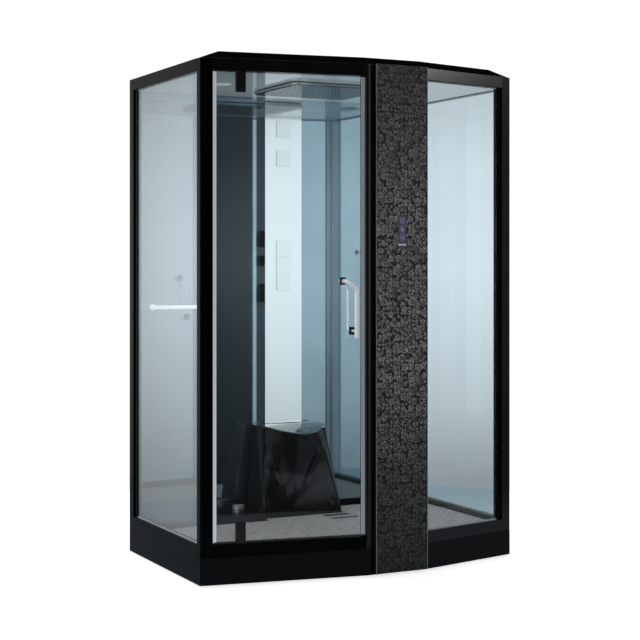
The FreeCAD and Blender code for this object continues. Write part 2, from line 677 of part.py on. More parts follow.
def rear_posts():
    posts = []
    for x in (LEFT, INNER_RIGHT):
        outer = box(x, f"{REAR} - rear_post_side", "base_height", "rail_depth", "rear_post_side",
                    FRAME_HEIGHT)
        inner = box(f"{x} + rail_wall", f"{REAR} - rear_post_side + rail_wall", "base_height - 1",
                    "rail_depth - 2 * rail_wall", "rear_post_side - 2 * rail_wall",
                    f"{FRAME_HEIGHT} + 2")
        posts.append(cut(outer, inner))
    return group(*posts)


def door_jamb():
    points = [on("door", JAMB_START, "0"), (BEND_C, NOSE), (PANEL_LEFT, NOSE),
              (PANEL_LEFT, f"{NOSE} + rail_depth"), on("door", JAMB_START, "rail_depth")]
    return prism(points, "base_height", FRAME_HEIGHT)


def glass_post():
    points = [(BEND_D, NOSE), on("right_front", PANE_START, "0"),
              on("right_front", PANE_START, "rail_depth"), (BEND_D, f"{NOSE} + rail_depth")]
    return prism(points, "base_height", FRAME_HEIGHT)


def channel(wall, along, width, open_at_start):
    """An upright channel that holds an edge of the glass."""
    outer = wall_box(wall, along, "glass_setback / 2", SILL_TOP, width, "channel_depth", "clear_height")
    start = f"{along} - 1" if open_at_start else f"{along} + ({width}) - groove_depth"
    slot = wall_box(wall, start, "glass_setback - groove_gap", f"{SILL_TOP} - 1", "groove_depth + 1",
                    "glass_thickness + 2 * groove_gap", "clear_height + 2")
    return cut(outer, slot)


def glass_channels():
    right_end = "(side_depth - rear_post_side - channel_width)"
    return group(channel("left", SIDE_START, "channel_width", False),
                 channel("right", right_end, "channel_width", True),
                 channel("right_front", f"{PANE_END} - front_channel_width", "front_channel_width",
                         True))


def pane(wall, along, length):
    """Fixed glass, held in the grooves of the rails above and below it."""
    return wall_box(wall, along, "glass_setback", f"{SILL_TOP} - groove_depth", length,
                    "glass_thickness", "clear_height + 2 * groove_depth")


def glass_left():
    start = "(rear_post_side + channel_width - groove_depth)"
    return pane("left", start, f"side_depth - {start} - ({POST_BACK_LEFT} - {FRONT})")


def glass_right():
    start = f"({POST_BACK_RIGHT} - {FRONT})"
    end = "(side_depth - rear_post_side - channel_width + groove_depth)"
    return pane("right", start, f"{end} - {start}")


def glass_front_right():
    end = f"({PANE_END} - front_channel_width + groove_depth - 1)"
    return pane("right_front", PANE_START, f"{end} - {PANE_START}")


def mirror_glass(x, length):
    return box(x, MIRROR, f"{SILL_TOP} - groove_depth", length, "glass_thickness",
               "clear_height + 2 * groove_depth")


SERVICE_HALF = "(column_width / 4)"


def back_wall_left():
    return mirror_glass(INNER_LEFT, f"column_centre - {SERVICE_HALF} - {INNER_LEFT}")


def back_wall_right():
    start = f"(column_centre + {SERVICE_HALF})"
    return mirror_glass(start, f"{INNER_RIGHT} - {start}")


def frame_screws():
    """Pan-head screws through the rear posts into the rear rails and the mirror glass clips."""
    count = int(value("screw_count"))
    step = f"({FRAME_HEIGHT} - 2 * screw_inset) / {count - 1}"
    return group(*[cylinder_along_y(x, REAR, f"base_height + screw_inset + {step} * {number}",
                                    "screw_head", "screw_head_height")
                   for x in (f"({LEFT} + rail_depth / 2)", f"({RIGHT} - rail_depth / 2)")
                   for number in range(count)])


# ---- the front column with its pattern panel ---------------------------------------------------

def column_box():
    outer = box(PANEL_LEFT, NOSE, "base_height", "panel_run - panel_margin", "box_depth", FRAME_HEIGHT)
    inner = box(f"{PANEL_LEFT} + box_wall", f"{NOSE} + box_wall", "base_height - 1",
                "panel_run - panel_margin - 2 * box_wall", "box_depth - 2 * box_wall",
                f"{FRAME_HEIGHT} + 2")
    return cut(outer, inner)


def display_box(gap, depth):
    x = f"{PANEL_LEFT} + ({PANEL_WIDTH} - display_width) / 2 - {gap}"
    return box(x, f"{NOSE} - panel_reach", f"display_foot - {gap}", f"display_width + 2 * {gap}",
               depth, f"display_height + 2 * {gap}")


def pattern_panel():
    slab = box(PANEL_LEFT, f"{NOSE} - panel_reach", "panel_foot", PANEL_WIDTH, "panel_reach",
               f"{FRAME_TOP} - panel_foot")
    return cut(slab, display_box("display_gap", "panel_pocket"))


def control_display():
    return display_box("0", "panel_pocket")


def control_unit():
    return box(f"{PANEL_LEFT} + ({PANEL_WIDTH} - control_width) / 2", f"{NOSE} + box_wall",
               "control_foot", "control_width", "control_depth", "control_height")


# ---- the roof ---------------------------------------------------------------------------------

def roof_form(wall, foot_z, top_z):
    """The roof's low dome, drawn in by its wall; its sloped edges are as wide as the insets."""
    edge = f"(roof_edge + {wall})"
    side = f"(roof_side_inset + {wall})"
    front = f"(roof_front_inset + {wall})"
    rear = f"({REAR} - {front})"
    left = f"({LEFT} + {side})"
    right = f"({RIGHT} - {side})"
    top = [(left, rear)] + front_line(front, left, right) + [(right, rear)]
    return loft((plan(edge, f"({REAR} - {edge})"), foot_z), (top, top_z))


def roof_cover():
    outer = roof_form("0", FRAME_TOP, f"{FRAME_TOP} + roof_rise")
    inner = roof_form("3 * roof_wall", f"{FRAME_TOP} - 1", f"{FRAME_TOP} + roof_rise - roof_wall")
    return cut(outer, inner)


def ceiling_panel():
    plate = prism(inside_outline(), HEADER_FOOT, "ceiling_thickness")
    foot = f"{HEADER_FOOT} - 1"
    through = "ceiling_thickness + 2"
    return cut(plate,
               cylinder("column_centre", MIXER_Y, foot, "riser_radius + 1", through),
               cylinder("column_centre", "rain_y", foot, "rain_stem + 1", through),
               cylinder(FAN_X, "fan_y", foot, "fan_bore", through),
               cylinder(LAMP_X, "lamp_y", foot, "lamp_radius - 5", through))


CEILING_TOP = f"({HEADER_FOOT} + ceiling_thickness)"
RISER_Z = f"({CEILING_TOP} + riser_lift)"
MIXER_Y = f"({MIRROR} - column_reach / 2)"


def rain_plate(inset, foot, height):
    """A flat plate with rounded corners, drawn in from the rain shower's outline by an inset."""
    corner = f"(rain_corner - {inset})"
    left = f"(column_centre - rain_half_width + {inset})"
    front = f"(rain_y - rain_half_depth + {inset})"
    across = f"(2 * (rain_half_width - {inset}))"
    along = f"(2 * (rain_half_depth - {inset}))"
    posts = [cylinder(f"column_centre {side} (rain_half_width - rain_corner)",
                      f"rain_y {end} (rain_half_depth - rain_corner)", foot, corner, height)
             for side in "-+" for end in "-+"]
    return fuse(box(left, f"{front} + {corner}", foot, across, f"{along} - 2 * {corner}", height),
                box(f"{left} + {corner}", front, foot, f"{across} - 2 * {corner}", along, height),
                *posts)


def rain_shower():
    top = f"({HEADER_FOOT} - rain_drop)"
    plate = rain_plate("0", f"({top} - rain_thickness)", "rain_thickness")
    face = rain_plate("rain_thickness", f"({top} - rain_thickness - rain_face)", "rain_face")
    stem = cylinder("column_centre", "rain_y", top, "rain_stem", f"{RISER_Z} - {top} - socket_half")
    flange = cylinder("column_centre", "rain_y", CEILING_TOP, "2 * rain_stem", "rain_face")
    return fuse(plate, face, stem, flange)


def riser_pipe():
    upright = cylinder("column_centre", MIXER_Y, "mixer_top", "riser_radius", f"{RISER_Z} - mixer_top")
    level = cylinder_along_y("column_centre", "rain_y", RISER_Z, "riser_radius", f"{MIXER_Y} - rain_y")
    elbow = doc.addObject("Part::Sphere", "elbow")
    bind(elbow, Radius="riser_radius * elbow_bulge")
    place(elbow, "column_centre", MIXER_Y, RISER_Z)
    socket = cylinder("column_centre", "rain_y", f"{RISER_Z} - socket_half", "rain_stem",
                      "2 * socket_half")
    return fuse(upright, level, elbow, socket)


def ceiling_light():
    foot = f"{HEADER_FOOT} - 2"
    bezel = cylinder(LAMP_X, "lamp_y", foot, "lamp_radius", "2")
    can = cylinder(LAMP_X, "lamp_y", HEADER_FOOT, "lamp_radius - 6", "lamp_height")
    return fuse(bezel, can)


def fan_housing():
    side = "fan_side"
    block = box(f"{FAN_X} - fan_side / 2", "fan_y - fan_side / 2", CEILING_TOP, side, side, "fan_height")
    way = cylinder(FAN_X, "fan_y", f"{CEILING_TOP} - 1", "fan_bore - 1", "fan_height + 2")
    bar = box(f"{FAN_X} - fan_bore", "fan_y - fan_hub / 2", f"{CEILING_TOP} + fan_height - 4",
              "2 * fan_bore", "fan_hub", "4")
    bearing = cylinder(FAN_X, "fan_y", f"{CEILING_TOP} + fan_height - 10", "fan_hub / 2", "10")
    bore = cylinder(FAN_X, "fan_y", f"{CEILING_TOP} + fan_height - 11", "fan_shaft + fan_fit", "12")
    return cut(fuse(cut(block, way), bar, bearing), bore)


def fan_rotor():
    foot = f"({CEILING_TOP} + 3)"
    height = "(fan_height - 15)"
    hub = cylinder(FAN_X, "fan_y", foot, "fan_hub", height)
    shaft = cylinder(FAN_X, "fan_y", f"{foot} + {height}", "fan_shaft", "10")
    blades = []
    count = int(value("fan_blades"))
    for number in range(count):
        blade = doc.addObject("Part::Box", "blade")
        bind(blade, Length="fan_tip - fan_hub / 2", Width="3", Height=f"{height} - 2")
        turn = f"{360 * number / count}"
        place(blade, f"{FAN_X} + fan_hub / 2 * cos({turn})", f"fan_y + fan_hub / 2 * sin({turn})",
              f"{foot} + 1", turn)
        blades.append(blade)
    return fuse(hub, shaft, *blades)


def fan_grille():
    foot = f"({HEADER_FOOT} - fan_grille_height)"
    disc = cylinder(FAN_X, "fan_y", foot, "fan_grille_radius", "fan_grille_height")
    slots = [box(f"{FAN_X} - fan_bore * {reach}", f"fan_y + {row} * fan_bore / 4 - 4", f"{foot} - 1",
                 f"2 * fan_bore * {reach}", "8", "fan_grille_height + 2")
             for row, reach in ((-3, 0.55), (-2, 0.8), (-1, 0.9), (0, 0.95), (1, 0.9), (2, 0.8),
                                (3, 0.55))]
    return cut(disc, *slots)


# ---- the shower column and its mixer ------------------------------------------------------------

COLUMN_LEFT = "(column_centre - column_width / 2)"
COLUMN_FRONT = f"({MIRROR} - column_reach)"
LEVERS = {
    "temperature_lever": ("temperature_axis", "temperature_length"),
    "diverter_lever": ("diverter_axis", "diverter_length"),
    "flow_lever": ("flow_axis", "flow_length"),
}


def shower_column():
    height = f"{HEADER_FOOT} - seat_height"
    outer = box(COLUMN_LEFT, COLUMN_FRONT, "seat_height", "column_width", "column_reach", height)
    inner = box(f"{COLUMN_LEFT} + column_wall", f"{COLUMN_FRONT} + column_wall",
                "seat_height + column_wall", "column_width - 2 * column_wall", "column_reach",
                f"{height} - 2 * column_wall")
    holes = [cylinder_along_x(f"{COLUMN_LEFT} - 1", MIXER_Y, axis, "spindle_hole", "column_wall + 2")
             for axis, length in LEVERS.values()]
    pipe = cylinder("column_centre", MIXER_Y, f"{HEADER_FOOT} - column_wall - 1", "riser_radius + 1",
                    "column_wall + 2")
    return cut(outer, inner, *holes, pipe)


def spray_plates():
    middles = [f"plate_top_{number}" for number in range(1, 6)]
    return group(*[box("column_centre - plate_side / 2", f"{COLUMN_FRONT} - plate_thickness",
                       f"{middle} - plate_side / 2", "plate_side", "plate_thickness", "plate_side")
                   for middle in middles])


def mixer_body():
    trunk = cylinder("column_centre", MIXER_Y, "mixer_foot", "mixer_radius", "mixer_top - mixer_foot")
    thread_start = f"({REAR} + inlet_reach - inlet_length)"
    inlets = []
    for z in ("hot_inlet", "cold_inlet"):
        inlets.append(cylinder_along_y("column_centre", MIXER_Y, z, "inlet_radius - 1",
                                       f"{thread_start} - {MIXER_Y}"))
        inlets.append(cylinder_along_y("column_centre", thread_start, z, "inlet_radius",
                                       "inlet_length"))
    bores = [cylinder_along_x("column_centre - mixer_radius - 1", MIXER_Y, axis,
                              "spindle_radius + spindle_fit", "spindle_bite + 1")
             for axis, length in LEVERS.values()]
    bracket = box("column_centre - mixer_radius / 2", f"{COLUMN_FRONT} + column_wall", "mixer_foot",
                  "mixer_radius", f"{MIXER_Y} - {COLUMN_FRONT} - column_wall", "mixer_radius")
    return cut(fuse(trunk, bracket, *inlets), *bores)


def lever(axis, length):
    """A lever on the column's left side: hub and tip joined by straight sides, and its spindle."""
    face = f"({COLUMN_LEFT} - lever_gap - lever_thickness)"
    hub = cylinder_along_x(face, MIXER_Y, axis, "lever_hub", "lever_thickness")
    tip_z = f"({axis} + {length} - lever_hub - lever_tip)"
    tip = cylinder_along_x(face, MIXER_Y, tip_z, "lever_tip", "lever_thickness")
    neck = box(face, f"{MIXER_Y} - lever_tip", axis, "lever_thickness", "2 * lever_tip",
               f"{tip_z} - {axis}")
    spindle = cylinder_along_x(f"{face} + lever_thickness", MIXER_Y, axis, "spindle_radius",
                               f"column_centre - mixer_radius + spindle_bite - {face}"
                               " - lever_thickness - 1")
    return fuse(hub, tip, neck, spindle)


# ---- the seat and the steam generator -----------------------------------------------------------

CORNER_STEPS = 5
BOILER_X = "(seat_centre - boiler_length / 2)"
BOILER_Y = f"({BASIN_REAR} - seat_wall - boiler_depth - 20)"
STEAM_Z = "(basin_floor + 2 * steam_pipe_radius)"
STEAM_OUTLET = (f"({PLINTH_RIGHT} - 4 * steam_pipe_radius)", f"({BOILER_Y} + boiler_depth / 2)")


def seat_section(half, reach, corner, wall):
    """The seat's outline at one height: straight sides, rounded front corners, all drawn in by its wall."""
    points = [(f"(seat_centre - {half} + {wall})", f"({BASIN_REAR} - {wall})")]
    for side, turns in (("-", range(CORNER_STEPS + 1)), ("+", range(CORNER_STEPS, -1, -1))):
        for step in turns:
            angle = f"(90 deg * {step} / {CORNER_STEPS})"
            across = f"({half} - {corner} + ({corner} - {wall}) * cos({angle}))"
            points.append((f"(seat_centre {side} {across})",
                           f"({BASIN_REAR} - {reach} + {corner} - ({corner} - {wall}) * sin({angle}))"))
    points.append((f"(seat_centre + {half} - {wall})", f"({BASIN_REAR} - {wall})"))
    return points


def seat_form(wall, foot_z, top_z):
    """The seat's foot, waist and top as one loft; top_z cuts it off at or below the full height."""
    share = f"(({top_z} - seat_waist_height) / (seat_height - seat_waist_height))"
    half = f"(seat_waist_half + (seat_top_half - seat_waist_half) * {share})"
    reach = f"(seat_waist_reach + (seat_top_reach - seat_waist_reach) * {share})"
    corner = f"(seat_waist_corner + (seat_top_corner - seat_waist_corner) * {share})"
    foot = seat_section("seat_foot_half", "seat_foot_reach", "seat_foot_corner", wall)
    waist = seat_section("seat_waist_half", "seat_waist_reach", "seat_waist_corner", wall)
    return loft((foot, foot_z), (waist, "seat_waist_height"),
                (seat_section(half, reach, corner, wall), top_z))


def seat_shell():
    outer = seat_form("0", "basin_floor", "seat_height")
    inner = seat_form("seat_wall", "basin_floor - 1", "(seat_height - seat_dish - seat_wall)")
    dish_radius = "(seat_top_half ^ 2 / (2 * seat_dish) + seat_dish / 2)"
    front = f"({BASIN_REAR} - seat_top_reach)"
    dish = doc.addObject("Part::Cone", "dish")
    bind(dish, Radius1=dish_radius, Radius2=f"{dish_radius} - seat_dish",
         Height="seat_top_reach - column_reach - 10")
    place(dish, "seat_centre", f"{front} - 1", f"seat_height + {dish_radius} - seat_dish", "-90",
          "1; 0; 0")
    pipe = cylinder_along_x(f"{STEAM_OUTLET[0]}", STEAM_OUTLET[1], STEAM_Z, "steam_pipe_radius + 1",
                            f"{BOILER_X} - {STEAM_OUTLET[0]}")
    return cut(outer, inner, dish, pipe)


def steam_generator():
    outer = box(BOILER_X, BOILER_Y, "basin_floor", "boiler_length", "boiler_depth", "boiler_height")
    inner = box(f"{BOILER_X} + boiler_wall", f"{BOILER_Y} + boiler_wall", "basin_floor - 1",
                "boiler_length - 2 * boiler_wall", "boiler_depth - 2 * boiler_wall",
                "boiler_height - boiler_wall + 1")
    return cut(outer, inner)


def steam_outlet():
    x, y = STEAM_OUTLET
    level = cylinder_along_x(x, y, STEAM_Z, "steam_pipe_radius", f"{BOILER_X} - {x}")
    elbow = doc.addObject("Part::Sphere", "elbow")
    bind(elbow, Radius="steam_pipe_radius * elbow_bulge")
    place(elbow, x, y, STEAM_Z)
    upright = cylinder(x, y, STEAM_Z, "steam_pipe_radius", f"plinth_height - {STEAM_Z}")
    cap = cylinder(x, y, "plinth_height", "steam_cap_radius", "steam_cap_height")
    return fuse(level, elbow, upright, cap)


# ---- the door -----------------------------------------------------------------------------------

PIVOT = on("door", "pivot_from_corner", "(glass_setback + door_thickness / 2)")
DOOR_EDGE = "(post_face + door_side_gap)"
DOOR_FAR_EDGE = f"({JAMB_START} - door_side_gap)"
DOOR_FOOT = f"({SILL_TOP} + door_foot_gap)"
DOOR_TOP = f"({HEADER_FOOT} - door_top_gap)"
DOOR_BACK = "(glass_setback + door_thickness)"


def door_slab():
    return wall_box("door", DOOR_EDGE, "glass_setback", DOOR_FOOT, f"{DOOR_FAR_EDGE} - {DOOR_EDGE}",
                    "door_thickness", f"{DOOR_TOP} - {DOOR_FOOT}")


def door_notch(z):
    return wall_box("door", "pivot_from_corner - notch_width / 2", "glass_setback - 1", z,
                    "notch_width", "door_thickness + 2", "notch_height + 1")


def door_glass():
    return cut(door_slab(), door_notch(f"{DOOR_FOOT} - 1"), door_notch(f"{DOOR_TOP} - notch_height"))


def hinge_clamp(z, notch_z, bore_z):
    """A clamp that grips the glass round its notch; the pin turns in the part that fills it."""
    inward = "(glass_setback + door_thickness / 2 - clamp_depth / 2)"
    block = wall_box("door", "pivot_from_corner - clamp_width / 2", inward, z, "clamp_width",
                     "clamp_depth", "clamp_height")
    bore = cylinder(*PIVOT, bore_z, "pin_radius + pin_fit", "pin_bite + 1")
    glass = cut(door_slab(), door_notch(notch_z))
    return cut(block, glass, bore)


def hinge_clamps():
    top = f"({HEADER_FOOT} - clamp_gap - clamp_height)"
    foot = f"({SILL_TOP} + clamp_gap)"
    return group(hinge_clamp(top, f"{DOOR_TOP} - notch_height", f"{top} + clamp_height - pin_bite"),
                 hinge_clamp(foot, f"{DOOR_FOOT} - 1", f"{foot} - 1"))


def hinge_pins():
    head = f"({HEADER_FOOT} + rail_wall)"
    upper = fuse(cylinder(*PIVOT, f"{HEADER_FOOT} - clamp_gap - pin_bite + 1", "pin_radius",
                          "clamp_gap + pin_bite - 1 + rail_wall + pin_head_height"),
                 cylinder(*PIVOT, head, "pin_head_radius", "pin_head_height"))
    nut = f"({SILL_TOP} - rail_wall - pin_head_height)"
    lower = fuse(cylinder(*PIVOT, nut, "pin_radius",
                          "pin_head_height + rail_wall + clamp_gap + pin_bite - 1"),
                 cylinder(*PIVOT, nut, "pin_head_radius", "pin_head_height"))
    return group(upper, lower)


def side_seals():
    """The soft strips on both upright edges of the door, each gripping the glass."""
    inward = "(glass_setback + door_thickness / 2 - seal_depth / 2)"
    height = f"{DOOR_TOP} - {DOOR_FOOT}"
    width = "door_side_gap - seal_gap + 6"
    strips = []
    for along in ("post_face + seal_gap", f"{DOOR_FAR_EDGE} - 6"):
        strip = wall_box("door", along, inward, DOOR_FOOT, width, "seal_depth", height)
        strips.append(cut(strip, door_slab()))
    return group(*strips)


def bottom_seal():
    """The sweep under the door glass, on both sides of the hinge clamp."""
    foot = f"({SILL_TOP} + sweep_gap)"
    height = f"{DOOR_FOOT} - {foot}"
    clamp_left = "(pivot_from_corner - clamp_width / 2)"
    clamp_right = "(pivot_from_corner + clamp_width / 2)"
    return group(wall_box("door", DOOR_EDGE, "glass_setback", foot, f"{clamp_left} - {DOOR_EDGE}",
                          "door_thickness", height),
                 wall_box("door", clamp_right, "glass_setback", foot,
                          f"{DOOR_FAR_EDGE} - {clamp_right}", "door_thickness", height))


# ---- the handle -----------------------------------------------------------------------------------

def door_point(along, inward, z):
    """A point of the closed door in numbers, along its facet and inward from the outer face."""
    direction = FreeCAD.Vector(value("door_run"), -value("bow_depth"), 0).normalize()
    inner = FreeCAD.Vector(-direction.y, direction.x, 0)
    corner = FreeCAD.Vector(-value("cabin_width") / 2, -value("side_depth") / 2, z)
    return corner + direction * along + inner * inward


def bent_bar(points, bend, radius):
    """A round bar along straight runs that tangent arcs join."""
    edges = []
    last = points[0]
    for before, corner, after in zip(points, points[1:], points[2:]):
        to_before = (before - corner).normalize()
        to_after = (after - corner).normalize()
        half = to_before.getAngle(to_after) / 2
        start = corner + to_before * (bend / math.tan(half))
        end = corner + to_after * (bend / math.tan(half))
        middle = corner + (to_before + to_after).normalize() * (bend / math.sin(half) - bend)
        edges.append(Part.LineSegment(last, start).toShape())
        edges.append(Part.Arc(start, middle, end).toShape())
        last = end
    edges.append(Part.LineSegment(last, points[-1]).toShape())
    profile = Part.Wire(Part.makeCircle(radius, points[0], points[1] - points[0]).Edges)
    return Part.Wire(edges).makePipeShell([profile], True, False)


def plain(shape):
    item = doc.addObject("Part::Feature", "bar")
    item.Shape = shape
    return item


def handle_outer():
    """The bar cranks from its upper mount to a straight grip, which a post ties to the lower mount."""
    seat = value("glass_setback") - value("mount_thickness")
    out = value("glass_setback") - value("handle_standoff")
    head = value("handle_head")
    bar = value("handle_bar")
    points = [door_point(head, seat, value("handle_top")), door_point(head, out, value("handle_top")),
              door_point(bar, out, value("handle_knee")),
              door_point(bar, out, value("handle_lower") - value("handle_tail"))]
    grip = bent_bar(points, value("handle_bend"), value("handle_radius"))
    foot = door_point(bar, out, value("handle_lower"))
    post = Part.makeCylinder(value("inner_radius"), seat - out, foot,
                             door_point(bar, seat, value("handle_lower")) - foot)
    return plain(grip.fuse(post))


def handle_inner():
    seat = value("glass_setback") + value("door_thickness") + value("mount_thickness")
    out = value("glass_setback") + value("door_thickness") + value("inner_standoff")
    head = value("handle_head")
    bar = value("handle_bar")
    points = [door_point(head, seat, value("handle_top")), door_point(head, out, value("handle_top")),
              door_point(bar, out, value("handle_knee")), door_point(bar, out, value("handle_lower")),
              door_point(bar, seat, value("handle_lower"))]
    return plain(bent_bar(points, value("inner_bend"), value("inner_radius")))


def handle_mounts():
    """Four clamping plates: outside and inside the glass, at both ends of the handle."""
    return group(*[wall_box("door", f"{along} - mount_width / 2", inward, f"{z} - mount_height / 2",
                            "mount_width", "mount_thickness", "mount_height")
                   for along, z in (("handle_head", "handle_top"), ("handle_bar", "handle_lower"))
                   for inward in ("glass_setback - mount_thickness", DOOR_BACK)])


# ---- the fittings on the mirror glass -----------------------------------------------------------

def towel_bar():
    first = f"({LEFT} + towel_start)"
    axis_y = f"({MIRROR} - towel_reach)"
    bar = cylinder_along_x(f"{first} - towel_overhang", axis_y, "towel_height", "towel_radius",
                           "towel_span + 2 * towel_overhang")
    arms = []
    for x in (first, f"{first} + towel_span"):
        arms.append(cylinder_along_y(x, axis_y, "towel_height", "towel_radius * 0.7", "towel_reach"))
        arms.append(cylinder_along_y(x, f"{MIRROR} - towel_radius / 2", "towel_height", "towel_foot",
                                     "towel_radius / 2"))
    return fuse(bar, *arms)


def temperature_sensor():
    probe = cylinder_along_y(SENSOR_X, f"{MIRROR} - 2 * sensor_reach", "sensor_height",
                             "sensor_radius / 2", "2 * sensor_reach")
    rosette = cylinder_along_y(SENSOR_X, f"{MIRROR} - sensor_reach", "sensor_height",
                               "sensor_radius", "sensor_reach")
    return fuse(probe, rosette)


# ---- the whole cabin ------------------------------------------------------------------------------

node(shower_tray(), "shower_tray")
node(front_skirt(), "front_skirt")
node(side_skirts(), "side_skirts")
node(long_bearers(), "long_bearers")
node(cross_bearers(), "cross_bearers")
node(levelling_feet(), "levelling_feet")
node(drain_trap(), "drain_trap")
node(drain_grate(), "drain_grate")
node(floor_board(), "floor_board")
node(plinth(), "plinth")

node(side_rails("base_height", "top"), "side_sills")
node(sill_door(), "sill_door")
node(front_right_rail("base_height", "top"), "sill_front_right")
node(side_rails(HEADER_FOOT, "under"), "side_headers")
node(header_door(), "header_door")
node(front_right_rail(HEADER_FOOT, "under"), "header_front_right")
node(rear_rails(), "rear_rails")
node(post_front_left(), "post_front_left")
node(post_front_right(), "post_front_right")
node(rear_posts(), "rear_posts")
node(door_jamb(), "door_jamb")
node(glass_post(), "glass_post")
node(glass_channels(), "glass_channels")
node(frame_screws(), "frame_screws")

node(glass_left(), "glass_left")
node(glass_right(), "glass_right")
node(glass_front_right(), "glass_front_right")
node(back_wall_left(), "back_wall_left")
node(back_wall_right(), "back_wall_right")

node(column_box(), "column_box")
node(pattern_panel(), "pattern_panel")
node(control_display(), "control_display")
node(control_unit(), "control_unit")

node(roof_cover(), "roof_cover")
node(ceiling_panel(), "ceiling_panel")
node(ceiling_light(), "ceiling_light")
node(rain_shower(), "rain_shower")
node(riser_pipe(), "riser_pipe")
node(fan_housing(), "fan_housing")
node(fan_rotor(), "fan_rotor")
node(fan_grille(), "fan_grille")

node(shower_column(), "shower_column")
node(spray_plates(), "spray_plates")
node(mixer_body(), "mixer_body")
for name, (axis, length) in LEVERS.items():
    node(lever(axis, length), name)

node(seat_shell(), "seat_shell")
node(steam_generator(), "steam_generator")
node(steam_outlet(), "steam_outlet")

node(door_glass(), "door_glass")
node(hinge_clamps(), "hinge_clamps")
node(hinge_pins(), "hinge_pins")
node(side_seals(), "side_seals")
node(bottom_seal(), "bottom_seal")
node(handle_outer(), "handle_outer")
node(handle_inner(), "handle_inner")
node(handle_mounts(), "handle_mounts")

node(towel_bar(), "towel_bar")
node(temperature_sensor(), "temperature_sensor")

doc.recompute()

for item in doc.Objects:
    if "Invalid" in item.State or "Error" in item.State:
        raise RuntimeError(f"{item.Name} ({item.Label}) failed: {item.State}")
for item in NODES:
    if item.Shape.isNull() or not item.Shape.isValid() or not item.Shape.Solids:
        raise RuntimeError(f"{item.Label} has no valid solid")

os.makedirs("parts", exist_ok=True)
for item in NODES:
    item.Shape.exportStep(f"parts/{item.Label}.step")
print(f"{len(NODES)} nodes, {sum(len(item.Shape.Solids) for item in NODES)} solids")
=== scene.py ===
# %% [markdown]
# A steam shower cabin, dressed for a product picture.
#
# The cabin's solids come from a finished construction model, so this script never decides where a
# profile or a pane stands. It gives each solid its finish, softens the edges that catch the light,
# and adds what a construction model leaves plain: spray nozzles, the mat's pads, the moulded seat,
# the printed panel and the touch keys. Everything is in metres; the cabin's front faces -Y.

import json
import math

import bmesh
import bpy
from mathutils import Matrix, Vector, noise


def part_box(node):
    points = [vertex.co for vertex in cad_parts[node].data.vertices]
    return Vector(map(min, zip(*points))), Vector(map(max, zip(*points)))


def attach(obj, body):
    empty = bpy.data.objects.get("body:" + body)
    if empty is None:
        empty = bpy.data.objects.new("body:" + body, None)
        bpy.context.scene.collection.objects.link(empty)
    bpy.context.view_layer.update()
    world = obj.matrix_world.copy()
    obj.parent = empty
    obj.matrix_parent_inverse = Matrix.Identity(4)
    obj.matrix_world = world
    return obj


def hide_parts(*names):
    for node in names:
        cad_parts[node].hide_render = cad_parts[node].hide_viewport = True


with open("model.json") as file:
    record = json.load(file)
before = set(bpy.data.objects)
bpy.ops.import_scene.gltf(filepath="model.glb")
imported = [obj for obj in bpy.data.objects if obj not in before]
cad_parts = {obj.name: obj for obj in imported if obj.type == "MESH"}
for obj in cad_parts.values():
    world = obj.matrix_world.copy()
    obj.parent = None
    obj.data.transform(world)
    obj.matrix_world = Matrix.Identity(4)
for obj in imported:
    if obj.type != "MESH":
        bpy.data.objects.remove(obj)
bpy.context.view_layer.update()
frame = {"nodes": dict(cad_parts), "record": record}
MM = 0.001

# %% [markdown]
# The camera stands where the picture was taken from: level, at eye height, left of the door and
# turned to the right. The lens is long, so upright edges stay upright and parallel. A level camera
# that looks slightly down on its subject is made with lens shift, never by tilting it.

# %% Camera
camera_data = bpy.data.cameras.new("camera")
camera_data.lens = 83.79
camera_data.sensor_width = 36
camera_data.shift_y = -0.0856
camera = bpy.data.objects.new("camera", camera_data)
camera.location = (-3.0314, -6.0278, 1.3064)
camera.rotation_euler = (math.radians(90), 0, math.radians(-26.755))
bpy.context.scene.collection.objects.link(camera)
bpy.context.scene.camera = camera
print("camera", [round(v, 2) for v in camera.location])


# %% [markdown]
# Small helpers come first. A material is a graph of nodes, so one helper adds a node and sets or
# links its inputs, and the others name what is needed often: a sum, a coordinate, a mix of colours.

# %% Helpers for node graphs
FLOAT, COLOUR, VECTOR = "NodeSocketFloat", "NodeSocketColor", "NodeSocketVector"
OBJECT, WHOLE = "NodeSocketObject", "NodeSocketInt"


def set_input(tree, socket, value):
    """Link a socket to an input, or set the input's own value."""
    if isinstance(value, bpy.types.NodeSocket):
        tree.links.new(value, socket)
    else:
        socket.default_value = value


def add(tree, kind, *sources, **values):
    """A new node; values set its properties or named inputs, and sources its inputs in order."""
    node = tree.nodes.new(kind)
    for name, value in values.items():
        if hasattr(node, name):
            setattr(node, name, value)
        else:
            set_input(tree, node.inputs[name.replace("_", " ")], value)
    for socket, value in zip(node.inputs, sources):
        set_input(tree, socket, value)
    return node


def calculate(tree, operation, *operands, clamp=False):
    """A Math node whose operands are numbers or sockets."""
    return add(tree, "ShaderNodeMath", *operands, operation=operation, use_clamp=clamp).outputs[0]


def vector_math(tree, operation, *operands, **values):
    return add(tree, "ShaderNodeVectorMath", *operands, operation=operation, **values).outputs[0]


def coordinate(tree, kind="Object"):
    return add(tree, "ShaderNodeTexCoord").outputs[kind]


def parts_of(tree, vector):
    """The X, Y and Z of a vector."""
    return add(tree, "ShaderNodeSeparateXYZ", vector).outputs


def cloud(tree, scale, detail):
    """A noise between 0 and 1 that lies still on the object."""
    return add(tree, "ShaderNodeTexNoise", Vector=coordinate(tree), Scale=scale,
               Detail=detail).outputs["Fac"]


def mixed(tree, factor, first, second, blend="MIX"):
    """Two colours, mixed by a factor."""
    return add(tree, "ShaderNodeMix", data_type="RGBA", blend_type=blend, Factor=factor, A=first,
               B=second).outputs["Result"]


